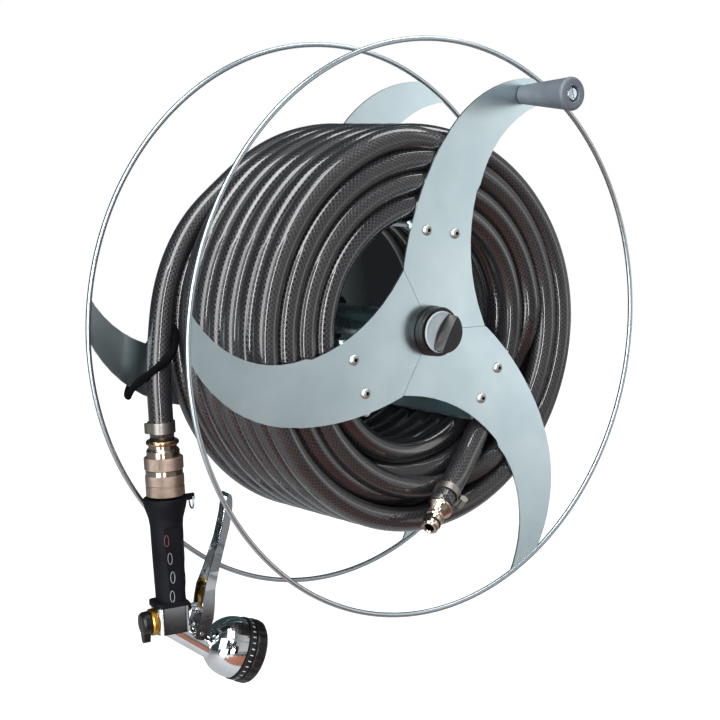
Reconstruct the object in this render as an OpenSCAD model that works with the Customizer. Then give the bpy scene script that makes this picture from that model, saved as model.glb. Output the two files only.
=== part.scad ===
// Wall hose holder: a sheet-steel reel on a wall bracket, wound with a garden hose that ends in a spray gun.
// The origin lies on the wall face at the reel's axis. +Y points into the wall, so the front faces -Y. +Z is up.
// The reel turns about the axle. Its own middle plane, halfway between the two side frames, is the reel frame.

/* [Wall bracket] */
// Width of the wall plate
wall_plate_w = 130; // [120:1:170]
// Height of the wall plate
wall_plate_h = 190; // [150:1:240]
// Thickness of the wall plate
wall_plate_t = 4; // [3:0.5:6]
// Corner radius of the wall plate
wall_plate_corner = 14; // [6:1:16]
// Diameter of the four wall holes
wall_hole_d = 9; // [6:0.5:11]
// Distance from the plate's edges to the hole centres
wall_hole_inset = 17; // [14:1:20]
// Diameter of the foot that carries the axle
foot_d = 92; // [70:1:110]
// Thickness of the foot
foot_t = 5; // [4:0.5:8]

/* [Axle] */
// Outer diameter of the axle tube
axle_d = 32; // [28:0.5:34]
// Wall of the axle tube
axle_wall = 3; // [2:0.5:4]
// Diameter of the sleeve behind the rear hub
sleeve_d = 42; // [38:1:50]
// Distance from the wall to the rear side frame
wall_gap = 62; // [55:1:90]
// Radial clearance of everything that turns on the axle
run_clear = 0.05; // [0.02:0.01:0.1]
// Axial play of the reel between its stops
end_play = 0.4; // [0.2:0.1:1]
// Thickness of the retaining ring
ring_t = 1.2; // [1:0.1:1.5]
// Outer diameter of the retaining ring
ring_d = 41; // [38:0.5:42]

/* [Side frames] */
// Radius of the wire hoops, to the middle of the wire
hoop_r = 280; // [270:1:310]
// Diameter of the hoop wire
wire_d = 5; // [4:0.5:7]
// Free width between the two side frames
frame_gap = 172; // [170:1:200]
// Sheet thickness of the arms and drum plates
sheet_t = 2; // [1.5:0.5:3]
// Gap of the seams between neighbouring arms
seam_gap = 0.4; // [0.2:0.1:0.8]
// Radius at which neighbouring arms part
notch_r = 70; // [66:1:74]

/* [Drum plates and screws] */
// Outer radius of the three curved drum plates
drum_r = 110; // [108:0.5:112]
// Angle that each drum plate spans
drum_span = 44; // [34:1:48]
// Width of the flanges that the screws go through
flange_w = 20; // [17:0.5:22]
// Radius of the screw circle
screw_circle_r = 98; // [96:0.5:99]
// Angle between the two screws of a pair
screw_pair_angle = 21.2; // [16:0.2:24]
// Direction of the first screw pair, from +X towards +Z
screw_pair_dir = 83; // [81:0.5:85]
// Thread diameter of the screws
screw_d = 6; // [5:0.5:6.5]
// Diameter of the round screw heads
screw_head_d = 10.5; // [9.5:0.1:11]
// Height of the screw heads
screw_head_h = 3.3; // [2.5:0.1:4]
// Width across the flats of the nuts
nut_af = 10; // [9:0.5:11]
// Height of the nuts
nut_h = 5; // [4:0.5:6]

/* [Hubs and locking knob] */
// Diameter of the hub flanges
hub_d = 49; // [46:0.5:54]
// Height of the hub flanges
hub_h = 8; // [7:0.5:12]
// Wall of the hub sleeve round the axle
hub_wall = 1.9; // [1.5:0.1:2.5]
// Diameter of the ring nuts inside the drum
ring_nut_d = 60; // [54:1:70]
// Height of the ring nuts
ring_nut_h = 6; // [4:0.5:8]
// Diameter of the locking knob
knob_d = 48; // [46:0.5:50]
// Height of the knob's base
knob_h = 4.5; // [4:0.5:8]
// Diameter of the knob's face
knob_face_d = 40.6; // [38:0.2:42]
// Height of the half-moon grip on the face
moon_h = 8.5; // [7:0.5:12]
// Direction of the half-moon at rest, from +X towards +Z
moon_dir = -29; // [-45:1:0]

/* [Crank] */
// Distance of the crank grip's bolt from the middle of the hoop wire, inwards
crank_inset = 23; // [22:0.5:28]
// Direction of the crank grip, from +X towards +Z
crank_dir = 62.6; // [61.6:0.1:63.6]
// Length of the crank grip
grip_len = 71; // [55:1:90]
// Diameter of the grip at the arm
grip_base_d = 19; // [17:0.5:22]
// Diameter of the grip at its free end
grip_end_d = 33; // [28:0.5:36]
// Thread diameter of the crank bolt
crank_bolt_d = 8; // [6:0.5:9]
// Outer diameter of the bush that the grip turns on
crank_bush_d = 12; // [11:0.5:13]

/* [Hose] */
// Outer diameter of the hose
hose_d = 24; // [23:0.1:24]
// Radius of the outermost layer of turns, to the middle of the hose
wind_r = 188; // [187:0.5:190]
// Radius of the innermost layer of turns, to the middle of the hose
inner_r = 122.5; // [122.5:0.5:126]

/* [Couplings] */
// Diameter of the knurled sliding collar on the gun coupling
collar_d = 38.4; // [36.8:0.2:40]
// Length of the sliding collar
collar_len = 12.5; // [10:0.5:13]
// Travel of the sliding collar
collar_travel = 4.5; // [3:0.5:5]
// Diameter of the coupling's barrel under the collar
barrel_d = 32.5; // [31:0.5:33.5]
// Diameter of the knurled nut on the gun
gun_nut_d = 38; // [36:0.2:40]
// Diameter of the gun's plug nose inside the coupling
nose_d = 18; // [16:0.5:20]
// Length of the inlet plug from the hose end
plug_len = 31; // [28:1:34]
// Diameter of the inlet plug's flange
plug_flange_d = 26; // [24:0.5:28]
// Diameter of the inlet plug's nose
plug_nose_d = 17; // [16:0.5:18]
// Bore of the inlet plug
plug_bore_d = 9; // [8:0.5:11]

/* [Spray gun] */
// Length of the rubber grip between its two collars
gun_grip_len = 107.5; // [100:0.5:115]
// Diameter of the grip's upper collar
gun_collar_d = 43; // [41:0.5:46]
// Width of the rubber grip below the collar
gun_grip_w = 32.4; // [30:0.2:35]
// Depth of the rubber grip from front to back
gun_grip_depth = 28; // [26:0.5:30]
// Diameter of the metal stem inside the grip
stem_d = 17; // [16:0.5:18]
// Width of the lever at its top
lever_top_w = 17; // [15:0.5:19]
// Width of the lever at its foot
lever_w = 26; // [25:0.5:28]
// Sheet thickness of the lever
lever_t = 1.8; // [1.2:0.1:2.4]
// Diameter of the lever's pin
lever_pin_d = 4; // [3:0.5:5]
// Diameter of the bell
bell_d = 61.5; // [58:0.5:63]
// Diameter of the nozzle ring
nozzle_d = 65; // [64:0.5:70]
// Thickness of the nozzle ring
nozzle_t = 20; // [18:0.5:23]
// Downward tilt of the head against the grip
head_tilt = 23.8; // [18:0.2:28]

/* [Hidden] */
$fn = 72;
// A hair more than nothing, for cuts that have to pass a face
over = 0.5;
arm_count = 3;
arm_step = 360 / arm_count;

// Depths from the wall towards the front
mid_depth = wall_gap + sheet_t + frame_gap / 2;
front_depth = wall_gap + 2 * sheet_t + frame_gap;
hub_front_depth = front_depth + hub_h;
ring_depth = hub_front_depth + end_play;
axle_end_depth = ring_depth + ring_t + 0.6;
sleeve_end_depth = wall_gap - hub_h - end_play;
// Half of the free width, and the plane of each side frame's wire
half_gap = frame_gap / 2;
wire_plane = half_gap + sheet_t / 2;

plate_hole_r = axle_d / 2 + run_clear + hub_wall + 0.1;
ring_groove = 1;
knob_back_depth = hub_front_depth + end_play + 0.2;
knob_step = 1.2;
knob_face_depth = knob_back_depth + knob_h + knob_step;
knob_face_t = 1.6;

crank_r = hoop_r - crank_inset;
crank_pos = [crank_r * cos(crank_dir), crank_r * sin(crank_dir)];
crank_gap = 0.3;
crank_recess = 5;

// Turns of the outermost layer that fit side by side, and their pitch
side_play = 0.5;
wind_width = frame_gap - hose_d - 2 * side_play;
wind_turns = floor(wind_width / (hose_d + 0.45));
wind_pitch = wind_width / wind_turns;
steps_per_turn = 24;
wind_end_dir = 128;
core_out_r = wind_r * cos(180 / steps_per_turn) - hose_d / 2 - 0.3;
climb_turn = 0.25;
// The front face shows two inner turns, which reach the outermost layer by climbing one step a turn. Each dips
// under the inlet end that lies over it. The first turn starts this many of its steps before the layer.
layer_pitch = hose_d + 1.3;
face_steps = 45;
face_dips = [30, 8];
// Share of each turn in which the hose steps over to the next place
step_over = 0.36;
core_in_r = inner_r - hose_d / 2;
core_half = half_gap - 3;
core_edge = 7;
face_in_r = (wind_r - 2 * layer_pitch) * cos(180 / steps_per_turn) - hose_d / 2 - 0.3;
face_mid_r = wind_r - 1.5 * layer_pitch;
face_half = [for (dip = face_dips) wind_width / 2 - dip - hose_d / 2 - 0.3];
face_edge = (face_in_r - core_in_r) / 2 - 0.2;

// The gun hangs nose down. Its own frame has its origin at the grip's top, +Z up the grip and +X towards the head.
gun_origin = [-213, 59.5, -161];
gun_turn = -12;
gun_lean = -2.9;
// Heights of the coupling's faces above the grip
coupling_top = 57;
barrel_top = 48.5;
collar_bottom = 28;
rim_bottom = 23;
gun_nut_bottom = 2;
clamp_height = coupling_top + 7;
clamp_width = 11;

// Places on the gun, in its own frame
flow_axis_z = -122.5;
block_w = 33;
block_d = 27;
block_x = -3;
block_right = block_x + block_w / 2;
block_left = block_x - block_w / 2;
block_bottom = -134.5;
lever_pivot = [24, -139.5];
stem_axis_z = -113;
stem_r = 3;
stem_gap = 0.4;
stem_inner_x = 4.5;
catch_x = 28.5;
head_origin = [63.1, -163.9];
neck_from = [-6, -128.5];
neck_to = [38, -161.6];
neck_r = 10.3;
dome_shift = 3;
// Places and depths of the finger waves on the grip's lever side
wave_r = 26;
waves = [[-27, 13.3], [-46, 12.6], [-71, 11.7], [-96, 10.9]];
// The grip sits a little towards the back of the stem
grip_shift = -1.2;
spigot_r = 6;
ring_hole = [26, -3];

// The inlet plug, from the hose end to its tip
plug_base = [-2, -104.5, -171.5];
plug_dir = [-0.772, -0.375, -0.513];

// Route of the hanging hose below the coil, in the reel frame. Its last stretch follows from the gun.
hanging_points = [[-160, 73.5, 112], [-180, 73, 88], [-196, 71, 60], [-207, 68, 30], [-213, 65, 0], [-217, 62.5, -30]];
// Route of the inlet end over the front of the coil, in the reel frame, from under the lower arm to the plug
inlet_points = [[101, -66, -73], [88.5, -69.5, -91], [75.5, -73.5, -106.5], [56, -80.5, -127], [38, -87.5, -143]];
// Route of the tie round the hanging hose and the rear arm behind it
tie_points = [[-197, 66, 4], [-200.6, 57, -2], [-205, 51, -9], [-210, 46, -16], [-221, 46, -27], [-232, 54, -37],
              [-234, 68, -46], [-238, 79, -56], [-238, 87, -63], [-231, 92.5, -53], [-219, 93, -32], [-209, 92, -14],
              [-202.5, 88, -7], [-199.5, 79, -1]];
tie_r = 2.5;

zinc = "#b9c7cb";
bright_zinc = "#c9d2d6";
black_plastic = "#22262a";
grey_plastic = "#646a72";
hose_black = "#2e3033";
nickel = "#bdb5a6";
brass = "#b8923f";
chrome = "#cfd3d6";
rubber = "#17181c";

// Placing. Local Z points out of the wall, local X stays X and local Y becomes up.
module from_wall(depth = 0) { translate([0, -depth, 0]) rotate([90, 0, 0]) children(); }
module on_reel() { translate([0, -mid_depth, 0]) children(); }
module reel_out(y = 0) { on_reel() translate([0, y, 0]) rotate([90, 0, 0]) children(); }
module on_gun() { on_reel() translate(gun_origin) rotate([0, 0, gun_turn]) rotate([0, gun_lean, 0]) children(); }
// A flat outline in the gun's X-Z plane, given a width across it
module across_gun(width) { translate([0, width / 2, 0]) rotate([90, 0, 0]) linear_extrude(width) children(); }
// Local Z turned to point along the head, out of the nozzle
module on_head() {
    on_gun() translate([head_origin.x, 0, head_origin.y]) rotate([0, 90 + head_tilt, 0]) children();
}
module on_plug() {
    on_reel() translate(plug_base) rotate([0, acos(plug_dir.z / norm(plug_dir)), atan2(plug_dir.y, plug_dir.x)]) children();
}

// A point of the gun's own frame, in the reel frame
function gun_point(p) =
    let (u = p.x * cos(gun_lean) + p.z * sin(gun_lean), w = p.z * cos(gun_lean) - p.x * sin(gun_lean))
    gun_origin + [u * cos(gun_turn) - p.y * sin(gun_turn), u * sin(gun_turn) + p.y * cos(gun_turn), w];

function unit(v) = v / norm(v);
function polar(r, a) = [r * cos(a), r * sin(a)];
// Points of a circular arc from one angle to the other
function arc(centre, r, from, to, steps) = [for (i = [0 : steps]) centre + polar(r, from + (to - from) * i / steps)];

module rounded_rect(w, h, r) {
    square([w - 2 * r, h], center = true);
    square([w, h - 2 * r], center = true);
    for (x = [-1, 1], y = [-1, 1]) translate([x * (w / 2 - r), y * (h / 2 - r)]) circle(r);
}

// A tube with flat sides round a path, as one closed surface of triangles
function path_dir(p, i, closed) =
    let (n = len(p))
    closed ? unit(p[(i + 1) % n] - p[(i + n - 1) % n]) : unit(p[min(i + 1, n - 1)] - p[max(i - 1, 0)]);
module tube_along(path, r, sides, across = [0, 1, 0], closed = false) {
    n = len(path);
    skin = [for (i = [0 : n - 1])
        let (t = path_dir(path, i, closed), a = unit(cross(t, across)), b = cross(t, a))
        for (k = [0 : sides - 1]) path[i] + r * (cos(360 * k / sides) * a + sin(360 * k / sides) * b)];
    runs = closed ? n : n - 1;
    walls = [for (i = [0 : runs - 1], k = [0 : sides - 1])
        let (j = (i + 1) % n, m = (k + 1) % sides)
        for (f = [[i * sides + k, j * sides + k, j * sides + m], [i * sides + k, j * sides + m, i * sides + m]]) f];
    last = (n - 1) * sides;
    caps = closed ? [] : [for (k = [1 : sides - 2]) for (f = [[0, k, k + 1], [last, last + k + 1, last + k]]) f];
    polyhedron(points = skin, faces = concat(walls, caps), convexity = 8);
}

// Wall bracket
module wall_plate() {
    color(zinc) from_wall() linear_extrude(wall_plate_t) difference() {
        rounded_rect(wall_plate_w, wall_plate_h, wall_plate_corner);
        for (x = [-1, 1], z = [-1, 1])
            translate([x * (wall_plate_w / 2 - wall_hole_inset), z * (wall_plate_h / 2 - wall_hole_inset)])
                circle(d = wall_hole_d);
    }
}

// Axle tube with its foot and sleeve, and a groove for the retaining ring
module axle() {
    r = axle_d / 2;
    bore = r - axle_wall;
    foot_top = wall_plate_t + foot_t;
    color(zinc) from_wall() rotate_extrude() polygon([
        [0, wall_plate_t], [foot_d / 2, wall_plate_t], [foot_d / 2, foot_top - 1], [foot_d / 2 - 1, foot_top],
        [sleeve_d / 2 + 6, foot_top], [sleeve_d / 2, foot_top + 6],
        [sleeve_d / 2, sleeve_end_depth], [r, sleeve_end_depth],
        [r, ring_depth - run_clear], [r - ring_groove, ring_depth - run_clear],
        [r - ring_groove, ring_depth + ring_t + run_clear], [r, ring_depth + ring_t + run_clear],
        [r, axle_end_depth], [bore, axle_end_depth], [bore, foot_top + 10], [0, foot_top + 10]]);
}

module retaining_ring() {
    r = axle_d / 2 - ring_groove + run_clear;
    color(bright_zinc) from_wall(ring_depth) rotate([0, 0, 115]) rotate_extrude(angle = 310)
        translate([r, 0]) square([ring_d / 2 - r, ring_t]);
}

// One sickle-shaped arm, drawn for the arm that carries the crank. Each edge is two arcs that run into each other.
// The arcs are those of an arm in a hoop of 280, and grow with the hoop.
module arm_outline() {
    k = hoop_r / 280;
    outer_root = arc([250, 15.5], 289, 170.3, 146.2, 8);
    outer_tip = arc([131, 105], 139.7, 146, 76, 12);
    inner_tip = arc([174.3, 106], 117, 84, 163, 12);
    inner_root = arc([227.1, 82.2], 177, 163, 205, 8);
    intersection() {
        polygon(concat([[0, 0], polar(notch_r, 120)], k * concat(outer_root, outer_tip, inner_tip, inner_root),
                       [polar(notch_r, 0)]));
        circle(r = hoop_r - wire_d / 2, $fn = 240);
    }
}
module arm(turn, with_crank_hole) {
    rotate([0, 0, turn]) linear_extrude(sheet_t) difference() {
        arm_outline();
        circle(r = plate_hole_r);
        for (s = [-1, 1]) translate(polar(screw_circle_r, screw_pair_dir + s * screw_pair_angle / 2))
            circle(d = screw_d + 0.4);
        if (with_crank_hole) translate(crank_pos) circle(d = crank_bolt_d + 0.1);
        for (a = [0, arm_step]) rotate([0, 0, a]) translate([0, -seam_gap / 2]) square([2 * notch_r, seam_gap]);
    }
}
module front_arm(i) { color(zinc) reel_out(-half_gap) arm(i * arm_step, i == 0); }
module rear_arm(i) { color(zinc) reel_out(half_gap + sheet_t) arm(i * arm_step, false); }

module hoop(y) {
    color(bright_zinc) reel_out(y) rotate_extrude($fn = 120) translate([hoop_r, 0]) circle(d = wire_d, $fn = 24);
}

// Curved plate that carries the hose, with a flange at each end
module drum_plate(i) {
    r = drum_r;
    bend = 2;
    color(zinc) reel_out(half_gap) difference() {
        rotate([0, 0, screw_pair_dir + i * arm_step - drum_span / 2]) rotate_extrude(angle = drum_span, $fn = 120)
            polygon([[r - flange_w, 0], [r - bend, 0], [r, bend], [r, frame_gap - bend], [r - bend, frame_gap],
                     [r - flange_w, frame_gap], [r - flange_w, frame_gap - sheet_t], [r - bend - 1, frame_gap - sheet_t],
                     [r - sheet_t, frame_gap - bend - 1], [r - sheet_t, bend + 1], [r - bend - 1, sheet_t],
                     [r - flange_w, sheet_t]]);
        for (s = [-1, 1]) translate(polar(screw_circle_r, screw_pair_dir + i * arm_step + s * screw_pair_angle / 2))
            translate([0, 0, -over]) cylinder(d = screw_d + 0.4, h = frame_gap + 2 * over);
    }
}

// Places its children at the six screws
module at_screws() {
    for (i = [0 : arm_count - 1], s = [-1, 1])
        translate(polar(screw_circle_r, screw_pair_dir + i * arm_step + s * screw_pair_angle / 2)) children();
}
// Round-headed screw with a hexagon socket. The head's seat is at Z = 0.
module button_screw() {
    r = screw_head_d / 2;
    difference() {
        union() {
            rotate_extrude() polygon([[0, 0], [r, 0], [r, 0.6], [r * 0.93, screw_head_h * 0.45],
                                      [r * 0.78, screw_head_h * 0.75], [r * 0.5, screw_head_h], [0, screw_head_h]]);
            translate([0, 0, -2 * sheet_t - nut_h - 1.5]) cylinder(d = screw_d, h = 2 * sheet_t + nut_h + 2);
        }
        translate([0, 0, screw_head_h - 2]) cylinder(d = screw_d * 0.75, h = 2 + over, $fn = 6);
    }
}
module hex_nut(af, hole, h) {
    difference() {
        cylinder(d = af / cos(30), h = h, $fn = 6);
        translate([0, 0, -over]) cylinder(d = hole, h = h + 2 * over);
    }
}
module front_screws() { color(bright_zinc) reel_out(-half_gap - sheet_t) at_screws() button_screw(); }
module rear_screws() { color(bright_zinc) reel_out(half_gap + sheet_t) at_screws() mirror([0, 0, 1]) button_screw(); }
module front_nuts() {
    color(bright_zinc) reel_out(-half_gap + sheet_t + nut_h) at_screws() hex_nut(nut_af, screw_d + 0.1, nut_h);
}
module rear_nuts() { color(bright_zinc) reel_out(half_gap - sheet_t) at_screws() hex_nut(nut_af, screw_d + 0.1, nut_h); }

// Moulded hub: a stepped flange outside and a sleeve through the side frame. Z = 0 is the frame's outer face.
module hub_shape() {
    bore = axle_d / 2 + run_clear;
    r = hub_d / 2;
    sleeve_r = bore + hub_wall;
    inner_end = -sheet_t - ring_nut_h - 2;
    rotate_extrude() polygon([
        [bore, inner_end], [sleeve_r, inner_end], [sleeve_r, 0], [r, 0], [r, hub_h * 0.36], [r - 1.3, hub_h * 0.42],
        [r - 1.3, hub_h * 0.52], [r - 0.3, hub_h * 0.58], [r - 0.3, hub_h * 0.9], [r - 1.1, hub_h], [bore, hub_h]]);
}
module hub_nut_shape() {
    hole_r = plate_hole_r - 0.05;
    translate([0, 0, -sheet_t - ring_nut_h]) difference() {
        rotate_extrude() polygon([[hole_r, 0], [ring_nut_d / 2 - 1, 0], [ring_nut_d / 2, 1],
                                  [ring_nut_d / 2, ring_nut_h], [hole_r, ring_nut_h]]);
        for (a = [0 : 45 : 315]) rotate([0, 0, a]) translate([ring_nut_d / 2, 0, -over])
            cylinder(d = 5, h = ring_nut_h - 1);
    }
}
module front_hub() { color(black_plastic) from_wall(front_depth) hub_shape(); }
module front_hub_nut() { color(black_plastic) from_wall(front_depth) hub_nut_shape(); }
module rear_hub() { color(black_plastic) from_wall(wall_gap) mirror([0, 0, 1]) hub_shape(); }
module rear_hub_nut() { color(black_plastic) from_wall(wall_gap) mirror([0, 0, 1]) hub_nut_shape(); }

// Locking knob on the axle's end: a base that turns in the tube, a pale face and a half-moon grip
module lock_knob() {
    r = knob_d / 2;
    shank_r = axle_d / 2 - axle_wall - run_clear;
    pocket_r = ring_d / 2 + 0.5;
    pocket_top = axle_end_depth - knob_back_depth + 0.3;
    color(black_plastic) from_wall(knob_back_depth) rotate_extrude() polygon([
        [0, pocket_top - 26], [shank_r - 1, pocket_top - 26], [shank_r, pocket_top - 25], [shank_r, pocket_top],
        [pocket_r, pocket_top], [pocket_r, 0], [r - 0.5, 0], [r, 0.5], [r, knob_h - 0.8], [r - 0.8, knob_h],
        [knob_face_d / 2 + 0.7, knob_h], [knob_face_d / 2 + 0.7, knob_h + knob_step], [0, knob_h + knob_step]]);
}
module knob_face() {
    r = knob_face_d / 2;
    color(zinc) from_wall(knob_face_depth) rotate_extrude()
        polygon([[0, 0], [r, 0], [r, knob_face_t - 0.7], [r - 0.7, knob_face_t], [r - 2.4, knob_face_t - 0.1],
                 [r - 2.8, knob_face_t - 0.4], [0, knob_face_t - 0.4]]);
}
module knob_grip() {
    r = knob_face_d / 2 - 0.6;
    rim = knob_face_d / 2 - 2.85;
    base = knob_face_t - 0.4;
    // The hollow side runs from the face up to the top's edge
    from = -3.5;
    run = 9;
    lip = 0.6;
    rise = moon_h - lip;
    scoop_r = (run * run + rise * rise) / (2 * rise);
    color(black_plastic) from_wall(knob_face_depth) rotate([0, 0, moon_dir]) difference() {
        rotate_extrude() polygon([[0, base], [rim, base], [rim, knob_face_t], [r, knob_face_t], [r, base + moon_h - 2],
                                  [r - 0.6, base + moon_h - 0.6], [r - 2, base + moon_h], [0, base + moon_h]]);
        translate([from, 0, base + lip + scoop_r]) rotate([90, 0, 0]) cylinder(r = scoop_r, h = 3 * r, center = true);
        translate([from - 2 * r, -r - 1, base - 1]) cube([2 * r, 2 * r + 2, moon_h + 2]);
    }
}

// Crank grip: a tapered handle that turns on a bush, held by a slotted bolt. Z = 0 is the front arm's face.
module on_crank() { reel_out(-half_gap - sheet_t) translate(crank_pos) children(); }
module crank_grip() {
    end = crank_gap + grip_len;
    bore = crank_bush_d / 2 + run_clear;
    r = grip_end_d / 2;
    recess_r = crank_bush_d / 2 + 1.9;
    color(grey_plastic) on_crank() rotate_extrude() polygon([
        [bore, crank_gap], [grip_base_d / 2 - 1, crank_gap], [grip_base_d / 2, crank_gap + 1], [r - 0.5, end - 6],
        [r, end - 4], [r - 0.3, end - 2.4], [r - 1.2, end - 1], [r - 2.6, end - 0.2], [r - 4, end],
        [recess_r + 0.4, end], [recess_r, end - 0.4], [recess_r, end - crank_recess], [bore, end - crank_recess]]);
}
module crank_bush() {
    r = crank_bolt_d / 2 + 0.05;
    color(bright_zinc) on_crank() difference() {
        cylinder(d = crank_bush_d, h = crank_gap + grip_len - crank_recess + 0.3);
        translate([0, 0, -over]) cylinder(r = r, h = grip_len + 2 * over);
    }
}
module crank_bolt() {
    seat = crank_gap + grip_len - crank_recess + 0.3;
    head_r = crank_bush_d / 2 + 0.4;
    color(bright_zinc) on_crank() difference() {
        union() {
            translate([0, 0, -sheet_t - 9]) cylinder(d = crank_bolt_d, h = seat + sheet_t + 10);
            translate([0, 0, seat]) rotate_extrude() polygon([[0, 0], [head_r, 0], [head_r, 2.4], [head_r - 1, 3.2], [0, 3.4]]);
        }
        rotate([0, 0, 105]) translate([-head_r - 1, -0.8, seat + 1.9]) cube([2 * head_r + 2, 1.6, 3]);
    }
}
module crank_nut() {
    h = crank_bolt_d * 0.8;
    color(bright_zinc) on_crank() translate([0, 0, -sheet_t - h]) hex_nut(crank_bolt_d * 1.625, crank_bolt_d + 0.1, h);
}

// The hose. The outermost layer and two turns of the front face wind as one tube, over a plain ring that stands
// for the layers below them.
wind_start_dir = wind_end_dir - 360 * wind_turns;
function ease(t) = let (s = max(0, min(t, 1))) s * s * (3 - 2 * s);
function wind_radius(turn) =
    let (steps = floor(turn) + ease((turn - floor(turn)) / climb_turn) - 1) wind_r + layer_pitch * min(0, steps);
function wind_place(turn) = max(0, floor(turn) + ease((turn - floor(turn) - 1 + step_over) / step_over));
function face_dip(turn) =
    let (u = turn - floor(turn))
    turn >= 0 ? 0 : face_dips[floor(turn) + 2] * ease((u - 0.22) / 0.17) * (1 - ease((u - 0.57) / 0.16));
function wind_point(turn) =
    let (a = wind_start_dir + 360 * turn, p = polar(wind_radius(turn), a))
    [p.x, -wind_width / 2 + wind_pitch * wind_place(turn) + face_dip(turn), p.y];
wind_end = wind_point(wind_turns);
wind_root_dir = wind_start_dir - 360 * face_steps / steps_per_turn - 12;
wind_root = [(core_in_r + hose_d / 2 + 0.5) * cos(wind_root_dir), -wind_width / 2 + 26,
             (core_in_r + hose_d / 2 + 0.5) * sin(wind_root_dir)];
wind_end_tangent = [-sin(wind_end_dir), 0, cos(wind_end_dir)];
wind_exit = wind_end + hose_d * wind_end_tangent;
wind_path = concat([wind_root],
                   [for (i = [-face_steps : wind_turns * steps_per_turn]) wind_point(i / steps_per_turn)],
                   [wind_end + hose_d / 2 * wind_end_tangent, wind_exit]);
least_gap = min([for (i = [0 : len(wind_path) - 1]) for (j = [i + steps_per_turn / 2 : len(wind_path) - 1])
    norm(wind_path[i] - wind_path[j])]) - hose_d;
echo(least_gap_between_turns = least_gap, turns = wind_turns);

module hose_core() {
    a = core_edge;
    e = face_edge;
    color(hose_black) reel_out() rotate_extrude($fn = 120) polygon([
        [core_in_r, -core_half + a], [core_in_r + a * 0.3, -core_half + a * 0.3], [core_in_r + a, -core_half],
        [core_out_r - a, -core_half], [core_out_r, -core_half + a], [core_out_r, face_half[1]],
        [face_mid_r, face_half[1]], [face_mid_r, face_half[0]], [face_in_r, face_half[0]],
        [face_in_r, core_half - e], [face_in_r - e * 0.3, core_half - e * 0.3], [face_in_r - e, core_half],
        [core_in_r + e, core_half], [core_in_r + e * 0.3, core_half - e * 0.3], [core_in_r, core_half - e]]);
}
module hose_winding() { color(hose_black) on_reel() tube_along(wind_path, hose_d / 2, 6); }

hose_end = gun_point([0, 0, coupling_top]);
hanging_path = concat([wind_exit, wind_exit + hose_d / 2 * wind_end_tangent], hanging_points,
                      [for (h = [54, 38, 19]) gun_point([0, 0, coupling_top + h])], [hose_end]);
module hose_hanging() { color(hose_black) on_reel() tube_along(hanging_path, hose_d / 2, 12); }
inlet_path = concat(inlet_points, [plug_base - 1.25 * hose_d * unit(plug_dir), plug_base]);
module hose_inlet() { color(hose_black) on_reel() tube_along(inlet_path, hose_d / 2, 12); }
module tie_strap() { color(rubber) on_reel() tube_along(tie_points, tie_r, 8, across = [0.6, 0, -0.8], closed = true); }

// Worm-drive clamp round the hose, behind the inlet plug
module screw_clamp() {
    r = hose_d / 2 + 0.15;
    color(nickel) on_plug() rotate([0, 0, 53]) translate([0, 0, -24]) {
        difference() {
            cylinder(r = r + 1.1, h = 8);
            translate([0, 0, -over]) cylinder(r = r, h = 8 + 2 * over);
        }
        translate([r + 1, -6, 1]) cube([1.4, 12, 6]);
        translate([r + 5, -6.5, 4]) rotate([-90, 0, 0]) difference() {
            cylinder(d = 7, h = 13);
            translate([-0.6, -4, -over]) cube([1.2, 8, 1.5]);
        }
    }
}
// Inlet plug for a tap coupling: flange, waist, seal groove, nose and bore. Z = 0 is the hose end.
module inlet_plug() {
    f = plug_flange_d / 2;
    n = plug_nose_d / 2;
    b = plug_bore_d / 2;
    l = plug_len;
    color(nickel) on_plug() rotate_extrude() polygon([
        [b, 0], [f - 1, 0], [f, 1], [f, 3], [f - 1, 4], [n + 0.5, 9], [n - 1.6, 11], [n - 1.6, 13.5],
        [n + 1, 14.5], [n + 1, 16.5], [n, 17.5], [n, l - 9], [n - 1.8, l - 9], [n - 1.8, l - 6], [n, l - 6],
        [n, l - 1.6], [n - 1.6, l], [b + 1, l], [b, l - 1]]);
}
module plug_seal() {
    groove_r = plug_nose_d / 2 - 1.8;
    color(rubber) on_plug() translate([0, 0, plug_len - 7.5]) rotate_extrude()
        translate([groove_r + 1.3, 0]) circle(r = 1.3, $fn = 24);
}

// Ear clamp on the hanging hose
module ear_clamp() {
    r = hose_d / 2 + 0.15;
    color(nickel) on_gun() translate([0, 0, clamp_height]) difference() {
        union() {
            cylinder(r = r + 1.4, h = clamp_width);
            translate([-r - 4.2, -3.5, 0.5]) cube([6, 7, clamp_width - 1]);
        }
        translate([0, 0, -over]) cylinder(r = r, h = clamp_width + 2 * over);
        translate([-r - 3, -1.8, -over]) cube([1.2, 3.6, clamp_width + 2 * over]);
    }
}

// Hose coupling: shoulder ring, barrel and the rim that meets the gun's nut
module coupling_body() {
    b = barrel_d / 2;
    socket = nose_d / 2 + run_clear;
    t = coupling_top;
    color(nickel) on_gun() rotate_extrude() polygon([
        [socket, rim_bottom], [b + 2, rim_bottom], [b + 2, collar_bottom - 0.3], [b, collar_bottom - 0.3],
        [b, barrel_top - 1], [b - 1, barrel_top], [b - 2.4, barrel_top + 0.4], [b - 2.4, t - 5],
        [b, t - 4.4], [b + 0.2, t - 2], [b, t], [6, t], [6, barrel_top - 2], [socket, barrel_top - 4]]);
}
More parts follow.
